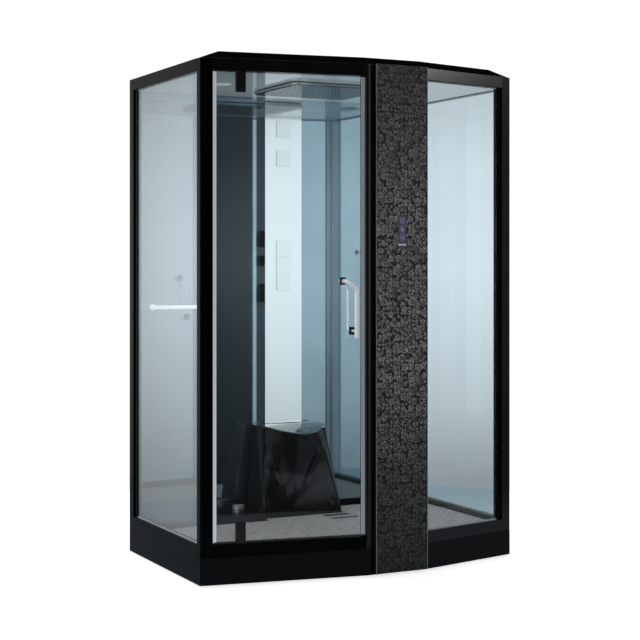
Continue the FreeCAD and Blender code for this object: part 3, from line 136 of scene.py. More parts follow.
def ramp(tree, source, stops):
    """A colour ramp; stops are (position, colour or grey)."""
    node = add(tree, "ShaderNodeValToRGB", source)
    elements = node.color_ramp.elements
    while len(elements) < len(stops):
        elements.new(0.5)
    for element, (position, colour) in zip(elements, stops):
        element.position = position
        element.color = (*colour, 1) if isinstance(colour, tuple) else (colour, colour, colour, 1)
    return node.outputs["Color"]


def seen_by_camera(tree, seen, otherwise):
    """One shader for what the camera sees itself, and another for every other ray."""
    camera_ray = add(tree, "ShaderNodeLightPath").outputs["Is Camera Ray"]
    return add(tree, "ShaderNodeMixShader", camera_ray, otherwise.outputs[0],
               seen.outputs[0]).outputs[0]


# %% [markdown]
# The studio. A black glossy object shows its surroundings more than itself, so the world is built
# as a studio wall: brightest at eye level, falling off above and below, with a dark gap straight
# in front, where a photographer leaves the camera. The camera itself sees plain white instead,
# because the picture's background is cut out.

# %% Studio world
EYE_LEVEL = [(0.0, 0.045), (0.30, 0.055), (0.385, 0.14), (0.43, 0.42), (0.453, 0.70), (0.477, 0.88),
             (0.5, 1.0), (0.534, 0.93), (0.558, 0.72), (0.60, 0.5), (0.75, 0.42), (1.0, 0.5)]
ALL_ROUND = [(0.0, 0.9), (0.2, 0.9), (0.40, 0.8), (0.415, 0.10), (0.545, 0.05),
             (0.562, 1.0), (0.60, 1.0), (0.63, 0.18), (0.67, 0.18), (0.72, 0.8), (1.0, 0.9)]


def studio_world(strength):
    world = bpy.data.worlds.new("studio")
    bpy.context.scene.world = world
    world.use_nodes = True
    tree = world.node_tree
    tree.nodes.clear()
    parts = parts_of(tree, coordinate(tree, "Generated"))
    wall = ramp(tree, calculate(tree, "MULTIPLY_ADD", parts["Z"], 0.5, 0.5), EYE_LEVEL)
    forward = calculate(tree, "MULTIPLY", parts["Y"], -1.0)
    turn = calculate(tree, "ARCTAN2", parts["X"], forward)
    gap = ramp(tree, calculate(tree, "MULTIPLY_ADD", turn, 0.5 / math.pi, 0.5), ALL_ROUND)
    lit = mixed(tree, 1, wall, gap, "MULTIPLY")
    wall_light = add(tree, "ShaderNodeBackground", Color=lit, Strength=strength)
    white = add(tree, "ShaderNodeBackground", Color=(1, 1, 1, 1), Strength=1.05)
    add(tree, "ShaderNodeOutputWorld", seen_by_camera(tree, white, wall_light))


studio_world(1.12)
bpy.context.scene.view_settings.view_transform = "Standard"
print("studio wall with", len(EYE_LEVEL), "brightness stops")


# %% [markdown]
# Floor and lamps. The floor is a pale round sheet. To the camera it is nearly white with a soft
# shadow under the tray; to every reflection it is a dim grey, as a studio floor outside the lights
# is. Soft lamps add the small highlights on the seat, the handle and the skirts.

# %% Floor and lamps
def plain_material(name):
    material = bpy.data.materials.new(name)
    material.use_nodes = True
    material.node_tree.nodes.clear()
    return material, material.node_tree


def floor_material():
    material, tree = plain_material("studio_floor")
    pale = add(tree, "ShaderNodeBsdfDiffuse", Color=(0.92, 0.92, 0.92, 1))
    glow = add(tree, "ShaderNodeEmission", Color=(1, 1, 1, 1), Strength=0.75)
    both = add(tree, "ShaderNodeAddShader", pale.outputs[0], glow.outputs[0])
    dim = add(tree, "ShaderNodeEmission", Color=(0.84, 1.0, 1.08, 1), Strength=0.38)
    add(tree, "ShaderNodeOutputMaterial", seen_by_camera(tree, both, dim))
    return material


def new_object(name, data):
    item = bpy.data.objects.new(name, data)
    bpy.context.scene.collection.objects.link(item)
    return item


def mesh_from(name, shape):
    """A mesh object from a finished bmesh."""
    mesh = bpy.data.meshes.new(name)
    shape.to_mesh(mesh)
    shape.free()
    return new_object(name, mesh)


def studio_floor(radius):
    shape = bmesh.new()
    bmesh.ops.create_circle(shape, cap_ends=True, segments=96, radius=radius)
    floor = mesh_from("studio_floor", shape)
    floor.data.materials.append(floor_material())


def new_lamp(name, kind, place, power):
    lamp = new_object(name, bpy.data.lights.new(name, kind))
    lamp.data.energy = power
    lamp.location = place
    return lamp


def soft_lamp(name, place, target, size, power):
    lamp = new_lamp(name, "AREA", place, power)
    lamp.data.size = size
    lamp.rotation_euler = (Vector(target) - Vector(place)).to_track_quat("-Z", "Y").to_euler()


def inside_lamp(place, power):
    """A soft ball of light in the cabin, which stands for its own ceiling light; no mirror shows it."""
    lamp = new_lamp("lamp_inside", "POINT", place, power)
    lamp.data.shadow_soft_size = 0.25
    lamp.visible_glossy = False
    lamp.visible_transmission = False


studio_floor(2.2)
soft_lamp("lamp_right", (3.9, -3.0, 3.1), (0.3, 0, 1.2), 0.4, 14)
soft_lamp("lamp_left", (-3.2, 1.8, 4.2), (0, 0, 1), 1.2, 25)
soft_lamp("lamp_top", (0.2, 0.4, 5.0), (0, 0, 0), 2.0, 40)
inside_lamp((0.0, -0.10, 1.40), 15)
print("floor and four lamps")


# %% [markdown]
# Finishes share two effects, so each is a node group that is built once: a fine unevenness that
# breaks up a perfect gloss, and a brushed grain. A group gives out values only; the shader stays
# in each material, where its gloss and colour can be read at a glance.

# %% Shared effects as node groups
def effect_group(name, inputs, outputs):
    """A group with its sockets, and what its input sockets give."""
    group = bpy.data.node_groups.new(name, "ShaderNodeTree")
    for label, kind, value in inputs:
        group.interface.new_socket(label, in_out="INPUT", socket_type=kind).default_value = value
    for label, kind in outputs:
        group.interface.new_socket(label, in_out="OUTPUT", socket_type=kind)
    return group, add(group, "NodeGroupInput").outputs


def varied_roughness(group, given, wave):
    """The given roughness, moved up and down by a wave between 0 and 1."""
    swing = calculate(group, "SUBTRACT", wave, 0.5)
    swing = calculate(group, "MULTIPLY", swing, given["Spread"])
    return calculate(group, "ADD", given["Roughness"], swing, clamp=True)


def unevenness_group():
    """Slow waves of the surface and a slight change of gloss, as on any moulded or coated part."""
    group, given = effect_group(
        "unevenness",
        [("Colour", COLOUR, (0.01, 0.01, 0.01, 1)), ("Roughness", FLOAT, 0.2),
         ("Spread", FLOAT, 0.08), ("Size", FLOAT, 30.0)],
        [("Colour", COLOUR), ("Roughness", FLOAT), ("Height", FLOAT)])
    broad = cloud(group, 4.0, 2.0)
    shade = calculate(group, "MULTIPLY_ADD", broad, 0.3, 0.85)
    add(group, "NodeGroupOutput", Colour=vector_math(group, "SCALE", given["Colour"], Scale=shade),
        Roughness=varied_roughness(group, given, broad), Height=cloud(group, given["Size"], 3.0))
    return group


def brushing_group():
    """Long fine scratches along one axis, as brushing and extrusion leave them."""
    group, given = effect_group(
        "brushing",
        [("Roughness", FLOAT, 0.25), ("Spread", FLOAT, 0.15), ("Along", VECTOR, (900.0, 900.0, 6.0))],
        [("Roughness", FLOAT), ("Height", FLOAT)])
    stretch = vector_math(group, "MULTIPLY", coordinate(group), given["Along"])
    grain = add(group, "ShaderNodeTexNoise", Vector=stretch, Scale=1.0, Detail=2.0).outputs["Fac"]
    add(group, "NodeGroupOutput", Roughness=varied_roughness(group, given, grain), Height=grain)
    return group


UNEVENNESS = unevenness_group()
BRUSHING = brushing_group()
print("effects:", UNEVENNESS.name, BRUSHING.name)


# %% [markdown]
# Most finishes on a cabin are coated, moulded or polished, so one function makes them all from a
# row of a table: a colour, a gloss and a surface wave. Black parts stay very dark: a black panel
# lighter than about one percent looks grey as soon as a bright studio wall reflects in it.

# %% Coated, moulded and polished finishes
def shader_with(tree, **values):
    shader = add(tree, "ShaderNodeBsdfPrincipled", **values)
    add(tree, "ShaderNodeOutputMaterial", shader.outputs[0])
    return shader


def bump_from(tree, height, shader, strength, distance):
    bump = add(tree, "ShaderNodeBump", Strength=strength, Distance=distance, Height=height)
    set_input(tree, shader.inputs["Normal"], bump.outputs[0])


def finish(name, colour, roughness, spread=0.06, size=30.0, wave=0.1, **values):
    """A finish with a slightly uneven surface."""
    material, tree = plain_material(name)
    uneven = add(tree, "ShaderNodeGroup", node_tree=UNEVENNESS, Colour=(*colour, 1),
                 Roughness=roughness, Spread=spread, Size=size).outputs
    shader = shader_with(tree, Base_Color=uneven["Colour"], Roughness=uneven["Roughness"], **values)
    bump_from(tree, uneven["Height"], shader, wave, 0.0006)
    return material


def brushed(name, colour, roughness, spread, along, wave=0.15):
    """A metal with a brushed grain along one axis."""
    material, tree = plain_material(name)
    grain = add(tree, "ShaderNodeGroup", node_tree=BRUSHING, Roughness=roughness, Spread=spread,
                Along=along).outputs
    shader = shader_with(tree, Base_Color=(*colour, 1), Metallic=1.0, Roughness=grain["Roughness"])
    bump_from(tree, grain["Height"], shader, wave, 0.0002)
    return material


COATED = {  # colour, roughness, its spread, size of the waves, their strength
    "frame_black": ((0.0025, 0.0028, 0.003), 0.22, 0.06, 60, 0.04),
    "channel_black": ((0.003, 0.003, 0.0035), 0.26, 0.06, 60, 0.05),
    "hinge_black": ((0.004, 0.004, 0.005), 0.3, 0.1, 120, 0.06),
    "box_black": ((0.006, 0.010, 0.011), 0.45, 0.08, 60, 0.05),
    "skirt_gloss": ((0.0025, 0.0025, 0.0025), 0.16, 0.05, 14, 0.05),
    "tray_acrylic": ((0.012, 0.013, 0.014), 0.2, 0.08, 14, 0.06),
    "roof_gloss": ((0.003, 0.003, 0.003), 0.55, 0.08, 14, 0.03),
    "seat_gloss": ((0.006, 0.0065, 0.0065), 0.16, 0.08, 22, 0.1),
    "lever_black": ((0.004, 0.004, 0.004), 0.15, 0.06, 80, 0.05),
    "unit_grey": ((0.16, 0.165, 0.17), 0.5, 0.1, 200, 0.2),
    "foot_plastic": ((0.03, 0.03, 0.03), 0.6, 0.1, 300, 0.3),
    "pipe_plastic": ((0.7, 0.7, 0.68), 0.4, 0.1, 60, 0.1),
    "ceiling_white": ((0.84, 0.92, 0.94), 0.05, 0.03, 6, 0.01),
    "seal_strip": ((0.55, 0.58, 0.59), 0.4, 0.1, 80, 0.1),
    "lamp_white": ((0.8, 0.8, 0.76), 0.4, 0.08, 40, 0.05),
    "chrome": ((0.95, 0.97, 0.98), 0.25, 0.08, 30, 0.02),
    "mixer_brass": ((0.62, 0.46, 0.22), 0.32, 0.15, 150, 0.3),
}
SHINE = {"frame_black": 0.32, "channel_black": 0.4, "box_black": 0.15, "skirt_gloss": 0.12,
         "roof_gloss": 0.0, "seat_gloss": 0.35}
USUAL_SHINE = 0.5
METAL = {"ceiling_white": 0.35, "chrome": 0.6, "mixer_brass": 1.0}
UPRIGHT = (700.0, 700.0, 5.0)
BRUSHED = {  # colour, roughness, its spread, grains per metre along X, Y and Z, their strength
    "column_white": ((0.93, 0.96, 0.96), 0.075, 0.05, UPRIGHT, 0.03),
    "plate_white": ((0.9, 0.93, 0.93), 0.09, 0.05, UPRIGHT, 0.03),
    "rain_steel": ((0.62, 0.65, 0.66), 0.22, 0.12, (500.0, 6.0, 500.0), 0.1),
    "screw_steel": ((0.5, 0.5, 0.5), 0.3, 0.12, (900.0, 60.0, 900.0)),
    "galvanised_steel": ((0.5, 0.51, 0.52), 0.42, 0.3, (30.0, 30.0, 30.0)),
    "boiler_steel": ((0.55, 0.55, 0.55), 0.3, 0.15, (6.0, 700.0, 700.0)),
}
FINISHES = {name: finish(name, *values, Specular_IOR_Level=SHINE.get(name, USUAL_SHINE),
                         Metallic=METAL.get(name, 0.0)) for name, values in COATED.items()}
FINISHES.update({name: brushed(name, *values) for name, values in BRUSHED.items()})
print(len(FINISHES), "finishes")


# %% [markdown]
# Glass and mirror. Real toughened glass is clear with a cool tint, and it loses some light at each
# face. The shader does that with plain transmission. For shadow and reflection rays it is swapped
# for a tinted hole, so daylight reaches the tray without the noise of light bent through panes.
# The back wall is a dark blue-grey mirror: mostly metal-like, with a little body colour.

# %% Glass and mirror
def glass(name, tint, veil=0.0):
    """Clear glass; a veil adds a faint milky brightness, painted light that makes a pane look more lit
    than clear glass is.
    """
    material, tree = plain_material(name)
    haze = ramp(tree, cloud(tree, 9.0, 6.0), [(0.45, 0.0), (0.75, 0.015)])
    shader = add(tree, "ShaderNodeBsdfPrincipled", Base_Color=(*tint, 1), Transmission_Weight=1.0,
                 IOR=1.48, Roughness=haze)
    milk = add(tree, "ShaderNodeBsdfTranslucent", Color=(0.80, 0.86, 0.92, 1))
    pane = add(tree, "ShaderNodeMixShader", veil, shader.outputs[0], milk.outputs[0])
    hole = add(tree, "ShaderNodeBsdfTransparent",
               Color=(*[value ** 0.5 * 0.97 for value in tint], 1))
    ray = add(tree, "ShaderNodeLightPath").outputs
    straight = calculate(tree, "MAXIMUM", ray["Is Camera Ray"], ray["Is Transmission Ray"])
    mix = add(tree, "ShaderNodeMixShader", straight, hole.outputs[0], pane.outputs[0])
    add(tree, "ShaderNodeOutputMaterial", mix.outputs[0])
    return material


FINISHES["clear_glass"] = glass("clear_glass", (0.88, 0.96, 1.0))
# The left pane alone gets a veil: painted light, a lit copy of the clear glass.
LEFT_GLASS = glass("left_glass", (0.93, 0.98, 1.0), veil=0.14)
FINISHES["door_glass"] = glass("door_glass", (0.90, 0.96, 0.98))
FINISHES["mirror_glass"] = finish("mirror_glass", (0.34, 0.45, 0.51), 0.03, 0.02, 3, 0.004,
                                  Metallic=0.9)
print("glass tints ready")


# %% [markdown]
# The panel's print. The pattern is a scatter of small rosettes on black glass. Voronoi cells give
# each rosette its own place; the distance to the cell's middle draws a ring and a dot, and the
# angle round it cuts the ring into petals. Being a print, it has no height of its own.

# %% Rosette print
def rosettes(tree, flat, scale, petals, ring, line, seed):
    """A mask of small ring-shaped flowers, one to a Voronoi cell of a flat plane."""
    place = vector_math(tree, "ADD", flat, (seed, seed * 0.7, 0))
    cells = add(tree, "ShaderNodeTexVoronoi", voronoi_dimensions="2D", Vector=place, Scale=scale,
                Randomness=0.7).outputs
    away = parts_of(tree, vector_math(tree, "SUBTRACT", place, cells["Position"]))
    angle = calculate(tree, "ARCTAN2", away["Y"], away["X"])
    lobes = calculate(tree, "SINE", calculate(tree, "MULTIPLY", angle, petals))
    reach = calculate(tree, "SUBTRACT", cells["Distance"],
                      calculate(tree, "MULTIPLY", lobes, ring * 0.13))
    own = parts_of(tree, cells["Color"])
    own_ring = calculate(tree, "MULTIPLY", calculate(tree, "ADD", own["Y"], 1.6), ring / 2.1)
    outer = calculate(tree, "ABSOLUTE", calculate(tree, "SUBTRACT", reach, own_ring))
    middle = calculate(tree, "MULTIPLY", own_ring, 0.3)
    inner = calculate(tree, "ABSOLUTE", calculate(tree, "SUBTRACT", cells["Distance"], middle))
    nearest = calculate(tree, "MINIMUM", outer, calculate(tree, "ADD", inner, line * 0.35))
    mask = ramp(tree, nearest, [(line * 0.5, 1.0), (line * 1.5, 0.0)])
    level = calculate(tree, "MULTIPLY_ADD", own["X"], 0.7, 0.3)
    return vector_math(tree, "SCALE", mask, Scale=level)


def printed_glass():
    """Black glass; its front face alone carries the print."""
    material, tree = plain_material("pattern_glass")
    parts = parts_of(tree, coordinate(tree))
    flat = add(tree, "ShaderNodeCombineXYZ", parts["X"], parts["Z"]).outputs[0]
    mask = mixed(tree, 1, rosettes(tree, flat, 30.0, 7, 0.36, 0.030, 3.1),
                 rosettes(tree, flat, 55.0, 5, 0.26, 0.034, 8.3), "LIGHTEN")
    facing = parts_of(tree, coordinate(tree, "Normal"))
    front = ramp(tree, calculate(tree, "MULTIPLY", facing["Y"], -1.0), [(0.5, 0.0), (0.6, 1.0)])
    printed = mixed(tree, 1, mask, front, "MULTIPLY")
    ground = ramp(tree, cloud(tree, 5.0, 3.0),
                  [(0.3, (0.003, 0.0035, 0.0035)), (0.7, (0.007, 0.0065, 0.006))])
    height = add(tree, "ShaderNodeMapRange", Value=parts["Z"], From_Max=2.15)
    # The print's colour changes with height: dark at the foot, white in the middle, grey at the top.
    print_tone_by_height = ramp(tree, height.outputs[0], [(0.0, (0.08, 0.08, 0.075)), (0.2, (0.30, 0.29, 0.28)),
                                          (0.42, (1.0, 0.97, 0.93)), (0.7, (1.0, 0.97, 0.94)),
                                          (1.0, (0.34, 0.335, 0.335))])
    dull = ramp(tree, printed, [(0.0, 0.24), (1.0, 0.4)])
    shader_with(tree, Specular_IOR_Level=0.25, Base_Color=mixed(tree, printed, ground, print_tone_by_height),
                Roughness=dull)
    return material


FINISHES["pattern_glass"] = printed_glass()
print("print ready")


# %% [markdown]
# The mat. It is a soft plastic tile, so its colour varies a little from pad to pad, and it is the
# only matt surface in the cabin. The pads are modelled later; here are only its two colours,
# with the nozzles' rubber and the display's lens.

# %% Mat finish
def mat_finish(name, low, high, roughness):
    material, tree = plain_material(name)
    speckle = cloud(tree, 45.0, 4.0)
    tone = ramp(tree, speckle, [(0.3, low), (0.7, high)])
    sheen = ramp(tree, speckle, [(0.3, roughness), (0.7, roughness + 0.15)])
    shader = shader_with(tree, Specular_IOR_Level=0.45, Base_Color=tone, Roughness=sheen)
    bump_from(tree, speckle, shader, 0.3, 0.0008)
    return material


FINISHES["board_plastic"] = mat_finish("board_plastic", (0.035, 0.035, 0.036),
                                       (0.06, 0.058, 0.056), 0.5)
MAT_PADS = mat_finish("mat_pads", (0.46, 0.43, 0.41), (0.62, 0.585, 0.56), 0.25)
NOZZLE_RUBBER = finish("nozzle_rubber", (0.02, 0.022, 0.022), 0.5, 0.1, 200, 0.1)
FINISHES["display_lens"] = finish("display_lens", (0.008, 0.007, 0.016), 0.1, 0.04, 20, 0.02)
print(len(FINISHES), "finishes in all")


# %% [markdown]
# Softened edges. No real profile or moulding has a perfectly sharp edge; the thin bright line that
# a rounded edge catches is what makes it look solid. Each solid that shows is copied, its loose
# triangles are merged, and its corners get a small bevel. The copy then stands for the solid. Glass
# panes and hidden parts keep the original mesh and only get their finish. Some solids have a finish
# of their own, tuned to the picture: the towel bar, the handles and the door's seals glow a little,
# which is painted light, and some profiles and a pane carry painted shade or painted light.

# %% Copies with softened edges
def merged_copy(node, name):
    shape = bmesh.new()
    shape.from_mesh(frame["nodes"][node].data)
    bmesh.ops.remove_doubles(shape, verts=shape.verts, dist=1e-5)
    bmesh.ops.dissolve_limit(shape, angle_limit=math.radians(1), verts=shape.verts, edges=shape.edges)
    return mesh_from(name, shape)


def soften(item, width, segments=2):
    bevel = item.modifiers.new("bevel", "BEVEL")
    bevel.width = width
    bevel.segments = segments
    bevel.limit_method = "ANGLE"
    bevel.angle_limit = math.radians(35)
    bevel.harden_normals = True


def evaluated_mesh(item):
    """The mesh that an object's modifiers make."""
    graph = bpy.context.evaluated_depsgraph_get()
    mesh = bpy.data.meshes.new_from_object(item.evaluated_get(graph))
    item.modifiers.clear()
    item.data = mesh
    return mesh


def shade_by_angle(mesh, degrees=35):
    """Smooth faces, with the edges that are sharper than an angle kept sharp."""
    mesh.shade_smooth()
    mesh.set_sharp_from_angle(angle=math.radians(degrees))


def principled(tree):
    return next(node for node in tree.nodes if node.type == "BSDF_PRINCIPLED")


def lit_inner_faces(name, black, inner, metal):
    """A black profile with painted light on the faces that look into the cabin: they are made pale, and
    partly metal as given.
    """
    material = black.copy()
    material.name = name
    tree = material.node_tree
    inputs = principled(tree).inputs
    outside = inputs["Base Color"].links[0].from_socket
    # Painted light: the faces turned towards +Y get the pale colour.
    inside = ramp(tree, parts_of(tree, coordinate(tree, "Normal"))["Y"], [(0.3, 0.0), (0.5, 1.0)])
    set_input(tree, inputs["Base Color"], mixed(tree, inside, outside, (*inner, 1)))
    set_input(tree, inputs["Metallic"], calculate(tree, "MULTIPLY", inside, metal))
    return material


def seal_finish():
    """The door's edge strips: pale plastic with a painted glow, brighter towards the pivot side:
    painted light.
    """
    material, tree = plain_material("seal_bright")
    across = calculate(tree, "ADD", parts_of(tree, coordinate(tree))["X"], 0.75)
    tone = ramp(tree, across, [(0.1, (0.90, 0.95, 0.97)), (0.6, (0.36, 0.39, 0.40))])
    # Painted light: the emission makes the strips glow though they hold no lamp.
    shader_with(tree, Roughness=0.3, Emission_Strength=0.25, Base_Color=tone, Emission_Color=tone)
    return material


def body_of(node):
    for body, nodes in frame["record"]["behaviour"]["bodies"].items():
        if node in nodes:
            return body
    return "root"


DEEP_BLACK = (0.0025, 0.0028, 0.003)
# Painted shade: the side and rear profiles, the front left post, the side skirts and the door sill get
# a nearly glossless copy of the frame's black, so they show darker.
SHADED_SIDE_BLACK = finish("side_black_painted_shade", DEEP_BLACK, 0.2, 0.05, 60, 0.03, Specular_IOR_Level=0.03)
BRIGHT = (0.95, 0.97, 1.0)
GLOW = (0.95, 0.98, 1.0, 1)
# The handles' polish is real; their glow is painted light, as no lamp is in them.
GLOWING_HANDLE = finish("handle_polish_and_glow", BRIGHT, 0.3, 0.08, 30, 0.02, Metallic=0.4,
                       Emission_Color=GLOW, Emission_Strength=0.2)
OWN_FINISH = {
    **dict.fromkeys(("side_headers", "side_sills", "rear_posts", "post_front_left", "side_skirts",
                     "sill_door"), SHADED_SIDE_BLACK),
    **dict.fromkeys(("handle_outer", "handle_inner"), GLOWING_HANDLE),
    "glass_channels": lit_inner_faces("channel_two_sided", SHADED_SIDE_BLACK, (0.85, 0.90, 0.92), 0.0),
    "glass_left": LEFT_GLASS,
    # Painted sheen: the front right header gets a far glossier copy of the frame's black.
    "header_front_right": finish("header_black_painted_sheen", DEEP_BLACK, 0.2, 0.05, 60, 0.03,
                                 Specular_IOR_Level=0.8),
    "side_seals": seal_finish(),
    "post_front_right": lit_inner_faces("post_two_sided", FINISHES["frame_black"], (0.80, 0.86, 0.88), 0.2),
    "bottom_seal": finish("seal_dark", (0.05, 0.055, 0.055), 0.4, 0.1, 80, 0.1),
    # The towel bar's polish is real; its glow is painted light, as no lamp is in it.
    "towel_bar": finish("bar_polish_and_glow", BRIGHT, 0.3, 0.08, 30, 0.02, Metallic=0.2,
                        Emission_Color=GLOW, Emission_Strength=0.55),
    "temperature_sensor": finish("sensor_steel", (0.50, 0.54, 0.55), 0.3, 0.1, 60, 0.05, Metallic=1.0),
}
SLOT_OF = {part["node"]: part["material_slot"] for part in frame["record"]["subparts"]}
EDGE_WIDTHS = {  # bevel in millimetres, and the solids that get it
    0.5: "ceiling_light", 0.6: "rear_rails column_box spray_plates bottom_seal",
    0.8: "side_sills sill_door sill_front_right side_headers header_door header_front_right "
         "glass_channels side_seals rain_shower towel_bar temperature_sensor",
    0.9: "side_skirts", 1.0: "door_jamb glass_post",
    1.2: "roof_cover temperature_lever diverter_lever flow_lever handle_mounts",
    1.5: "shower_column", 1.6: "pattern_panel", 2.0: "shower_tray rear_posts",
    2.5: "post_front_left post_front_right", 4.0: "front_skirt", 6.0: "plinth",
}
EDGE = {node: width for width, nodes in EDGE_WIDTHS.items() for node in nodes.split()}


def dress_nodes():
    for node, cad in frame["nodes"].items():
        slot = SLOT_OF[node]
        if node in EDGE:
            piece = merged_copy(node, node + "_finish")
            piece.data.materials.append(OWN_FINISH.get(node, FINISHES[slot]))
            shade_by_angle(piece.data)
            soften(piece, EDGE[node] * MM)
            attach(piece, body_of(node))
            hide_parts(node)
        else:
            for socket in cad.material_slots:
                socket.material = OWN_FINISH.get(node, FINISHES[slot])


dress_nodes()
print(len(EDGE), "solids with softened edges")


# %% [markdown]
# The seat is a moulded shell in one glossy black piece: wide at its foot, drawn in at the waist,
# with a dished top that dips towards the front. It is built ring by ring from foot to top, then
# round the lip and down into the dish, and a subdivision surface smooths it. Shallow folds run
# over its front, and they carry its long highlights.

# %% Seat
SEAT_REAR = 0.4105


def seat_ring(z, half, reach, corner, dip=0.0, count=9):
    """Points round three sides of the seat at one height; the rear stays straight at the wall."""
    front = SEAT_REAR - reach
    side = (SEAT_REAR + front + corner) / 2
    points = [Vector((-half, SEAT_REAR, z)), Vector((-half, side, z))]
    for step in range(count):
        angle = math.pi / 2 * step / (count - 1)
        points.append(Vector((-half + corner * (1 - math.cos(angle)),
                              front + corner * (1 - math.sin(angle)), z)))
    for share in (0.25, 0.5, 0.75):
        points.append(Vector((-half + corner + 2 * (half - corner) * share, front, z)))
    for step in range(count):
        angle = math.pi / 2 * step / (count - 1)
        points.append(Vector((half - corner * (1 - math.sin(angle)),
                              front + corner * (1 - math.cos(angle)), z)))
    points += [Vector((half, side, z)), Vector((half, SEAT_REAR, z))]
    for point in points:
        width = min(1.0, abs(point.x - 0.02) / half)
        depth = (SEAT_REAR - point.y) / reach
        point.z -= dip * (1 - width * width) * depth * depth
    return points


SEAT_SECTIONS = [  # height, half width, reach, corner radius, dip of the front
    (0.081, 0.2065, 0.2495, 0.012, 0), (0.095, 0.2065, 0.2495, 0.012, 0),
    (0.150, 0.2060, 0.2490, 0.013, 0), (0.190, 0.2030, 0.2470, 0.017, 0),
    (0.240, 0.1970, 0.2420, 0.025, 0), (0.300, 0.1900, 0.2360, 0.038, 0),
    (0.360, 0.1840, 0.2325, 0.053, 0), (0.420, 0.1800, 0.2350, 0.076, 0.003),
    (0.480, 0.1760, 0.2410, 0.108, 0.010), (0.525, 0.1730, 0.2460, 0.132, 0.020),
    (0.548, 0.1710, 0.2490, 0.145, 0.029), (0.556, 0.1700, 0.2490, 0.149, 0.031),
    (0.5595, 0.1670, 0.2450, 0.148, 0.031), (0.5592, 0.1620, 0.2390, 0.146, 0.029),
    (0.5590, 0.1500, 0.2250, 0.136, 0.025), (0.5588, 0.1200, 0.1850, 0.110, 0.012),
    (0.5587, 0.0700, 0.1200, 0.066, 0.003),
]


def loft(shape, rings):
    """A closed solid through rings of points, added to a shape; the rings have equal counts."""
    rings = [[shape.verts.new(point) for point in ring] for ring in rings]
    for low, high in zip(rings, rings[1:]):
        for first in range(len(low)):
            other = (first + 1) % len(low)
            shape.faces.new((low[first], low[other], high[other], high[first]))
    shape.faces.new(rings[-1])
    shape.faces.new(list(reversed(rings[0])))


def seat_mesh():
    shape = bmesh.new()
    loft(shape, [seat_ring(*section) for section in SEAT_SECTIONS])
    if shape.calc_volume(signed=True) < 0:
        bmesh.ops.reverse_faces(shape, faces=shape.faces)
    return mesh_from("seat_moulding", shape)


FOLDS = [  # middle x, middle z, half length, half width, turn in degrees, height in mm
    (0.067, 0.393, 0.080, 0.011, 64, 6.0), (0.03, 0.33, 0.17, 0.04, 52, -3.0),
    (-0.148, 0.349, 0.045, 0.009, 125, 5.5), (-0.08, 0.41, 0.14, 0.04, 105, -3.0),
    (0.150, 0.19, 0.06, 0.012, 124, 4.0), (-0.02, 0.22, 0.13, 0.045, 40, 3.0),
    (-0.190, 0.27, 0.12, 0.008, 96, 3.0), (0.125, 0.50, 0.05, 0.010, 110, 3.0),
    (-0.150, 0.46, 0.06, 0.010, 70, 3.0), (0.165, 0.21, 0.03, 0.007, 125, 5.0),
]


def crease(point):
    """How far the seat's skin stands out at a point of its front."""
    total = 0.0
    for x, z, length, width, turn, height in FOLDS:
        angle = math.radians(turn)
        along = (point.x - x) * math.cos(angle) + (point.z - z) * math.sin(angle)
        across = (point.z - z) * math.cos(angle) - (point.x - x) * math.sin(angle)
        total += height * MM * math.exp(-(along / length) ** 2 * 1.5 - (across / width) ** 2)
    return total


def seat_gloss():
    """Glossy black whose shine is painted down towards the foot: painted shade where the cabin's shade
    falls on it.
    """
    material = FINISHES["seat_gloss"]
    tree = material.node_tree
    # Painted shade: the specular falls from 0.35 to 0.04 towards the foot.
    shine = ramp(tree, parts_of(tree, coordinate(tree))["Z"], [(0.12, 0.04), (0.26, 0.35)])
    set_input(tree, principled(tree).inputs["Specular IOR Level"], shine)
    return material


def make_seat():
    seat = seat_mesh()
    smooth = seat.modifiers.new("smooth", "SUBSURF")
    smooth.levels = smooth.render_levels = 3
    mesh = evaluated_mesh(seat)
    low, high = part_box("seat_shell")
    outward = [vertex.normal.copy() for vertex in mesh.vertices]
    for vertex, normal in zip(mesh.vertices, outward):
        point = vertex.co
        fade = min(1.0, max(0.0, (0.525 - point.z) / 0.05)) * min(1.0, (point.z - 0.08) / 0.03)
        inward = min(1.0, max(0.0, (0.40 - point.y) / 0.06))
        ripple = 0.0010 * noise.noise(point * 22)
        point += normal * (crease(point) + ripple) * fade * inward
        for axis in range(3):
            point[axis] = min(high[axis], max(low[axis], point[axis]))
    mesh.shade_smooth()
    mesh.materials.clear()
    mesh.materials.append(seat_gloss())
    # The dish's upward faces get a pale mirror metal: a painted reflection, much brighter than the
    # black moulding gives.
    mesh.materials.append(finish("seat_top_painted_reflection", (0.62, 0.65, 0.65), 0.03, 0.02, 20, 0.01, Metallic=1.0))
    for face in mesh.polygons:
        face.material_index = 1 if face.normal.z > 0.6 and face.center.z > 0.5 else 0
    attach(seat, "root")
    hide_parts("seat_shell")
    print("seat", len(mesh.polygons), "faces")


make_seat()

# %% [markdown]
# Things that repeat are made with Geometry Nodes: a tree places one small shape many times, and
# its sizes are inputs that can be read and changed. Instances are realized at the end, because an
# exported model keeps only real faces. A helper runs a tree and keeps its result as a plain mesh.


# %% Running a Geometry Nodes tree
def geometry_tree(name, inputs):
    """An empty tree with its sockets, and what its input sockets give."""
    tree = bpy.data.node_groups.new(name, "GeometryNodeTree")
    tree.interface.new_socket("Geometry", in_out="INPUT", socket_type="NodeSocketGeometry")
    for label, kind, value in inputs:
        socket = tree.interface.new_socket(label, in_out="INPUT", socket_type=kind)
        if value is not None:
            socket.default_value = value
    tree.interface.new_socket("Geometry", in_out="OUTPUT", socket_type="NodeSocketGeometry")
    return tree, add(tree, "NodeGroupInput").outputs


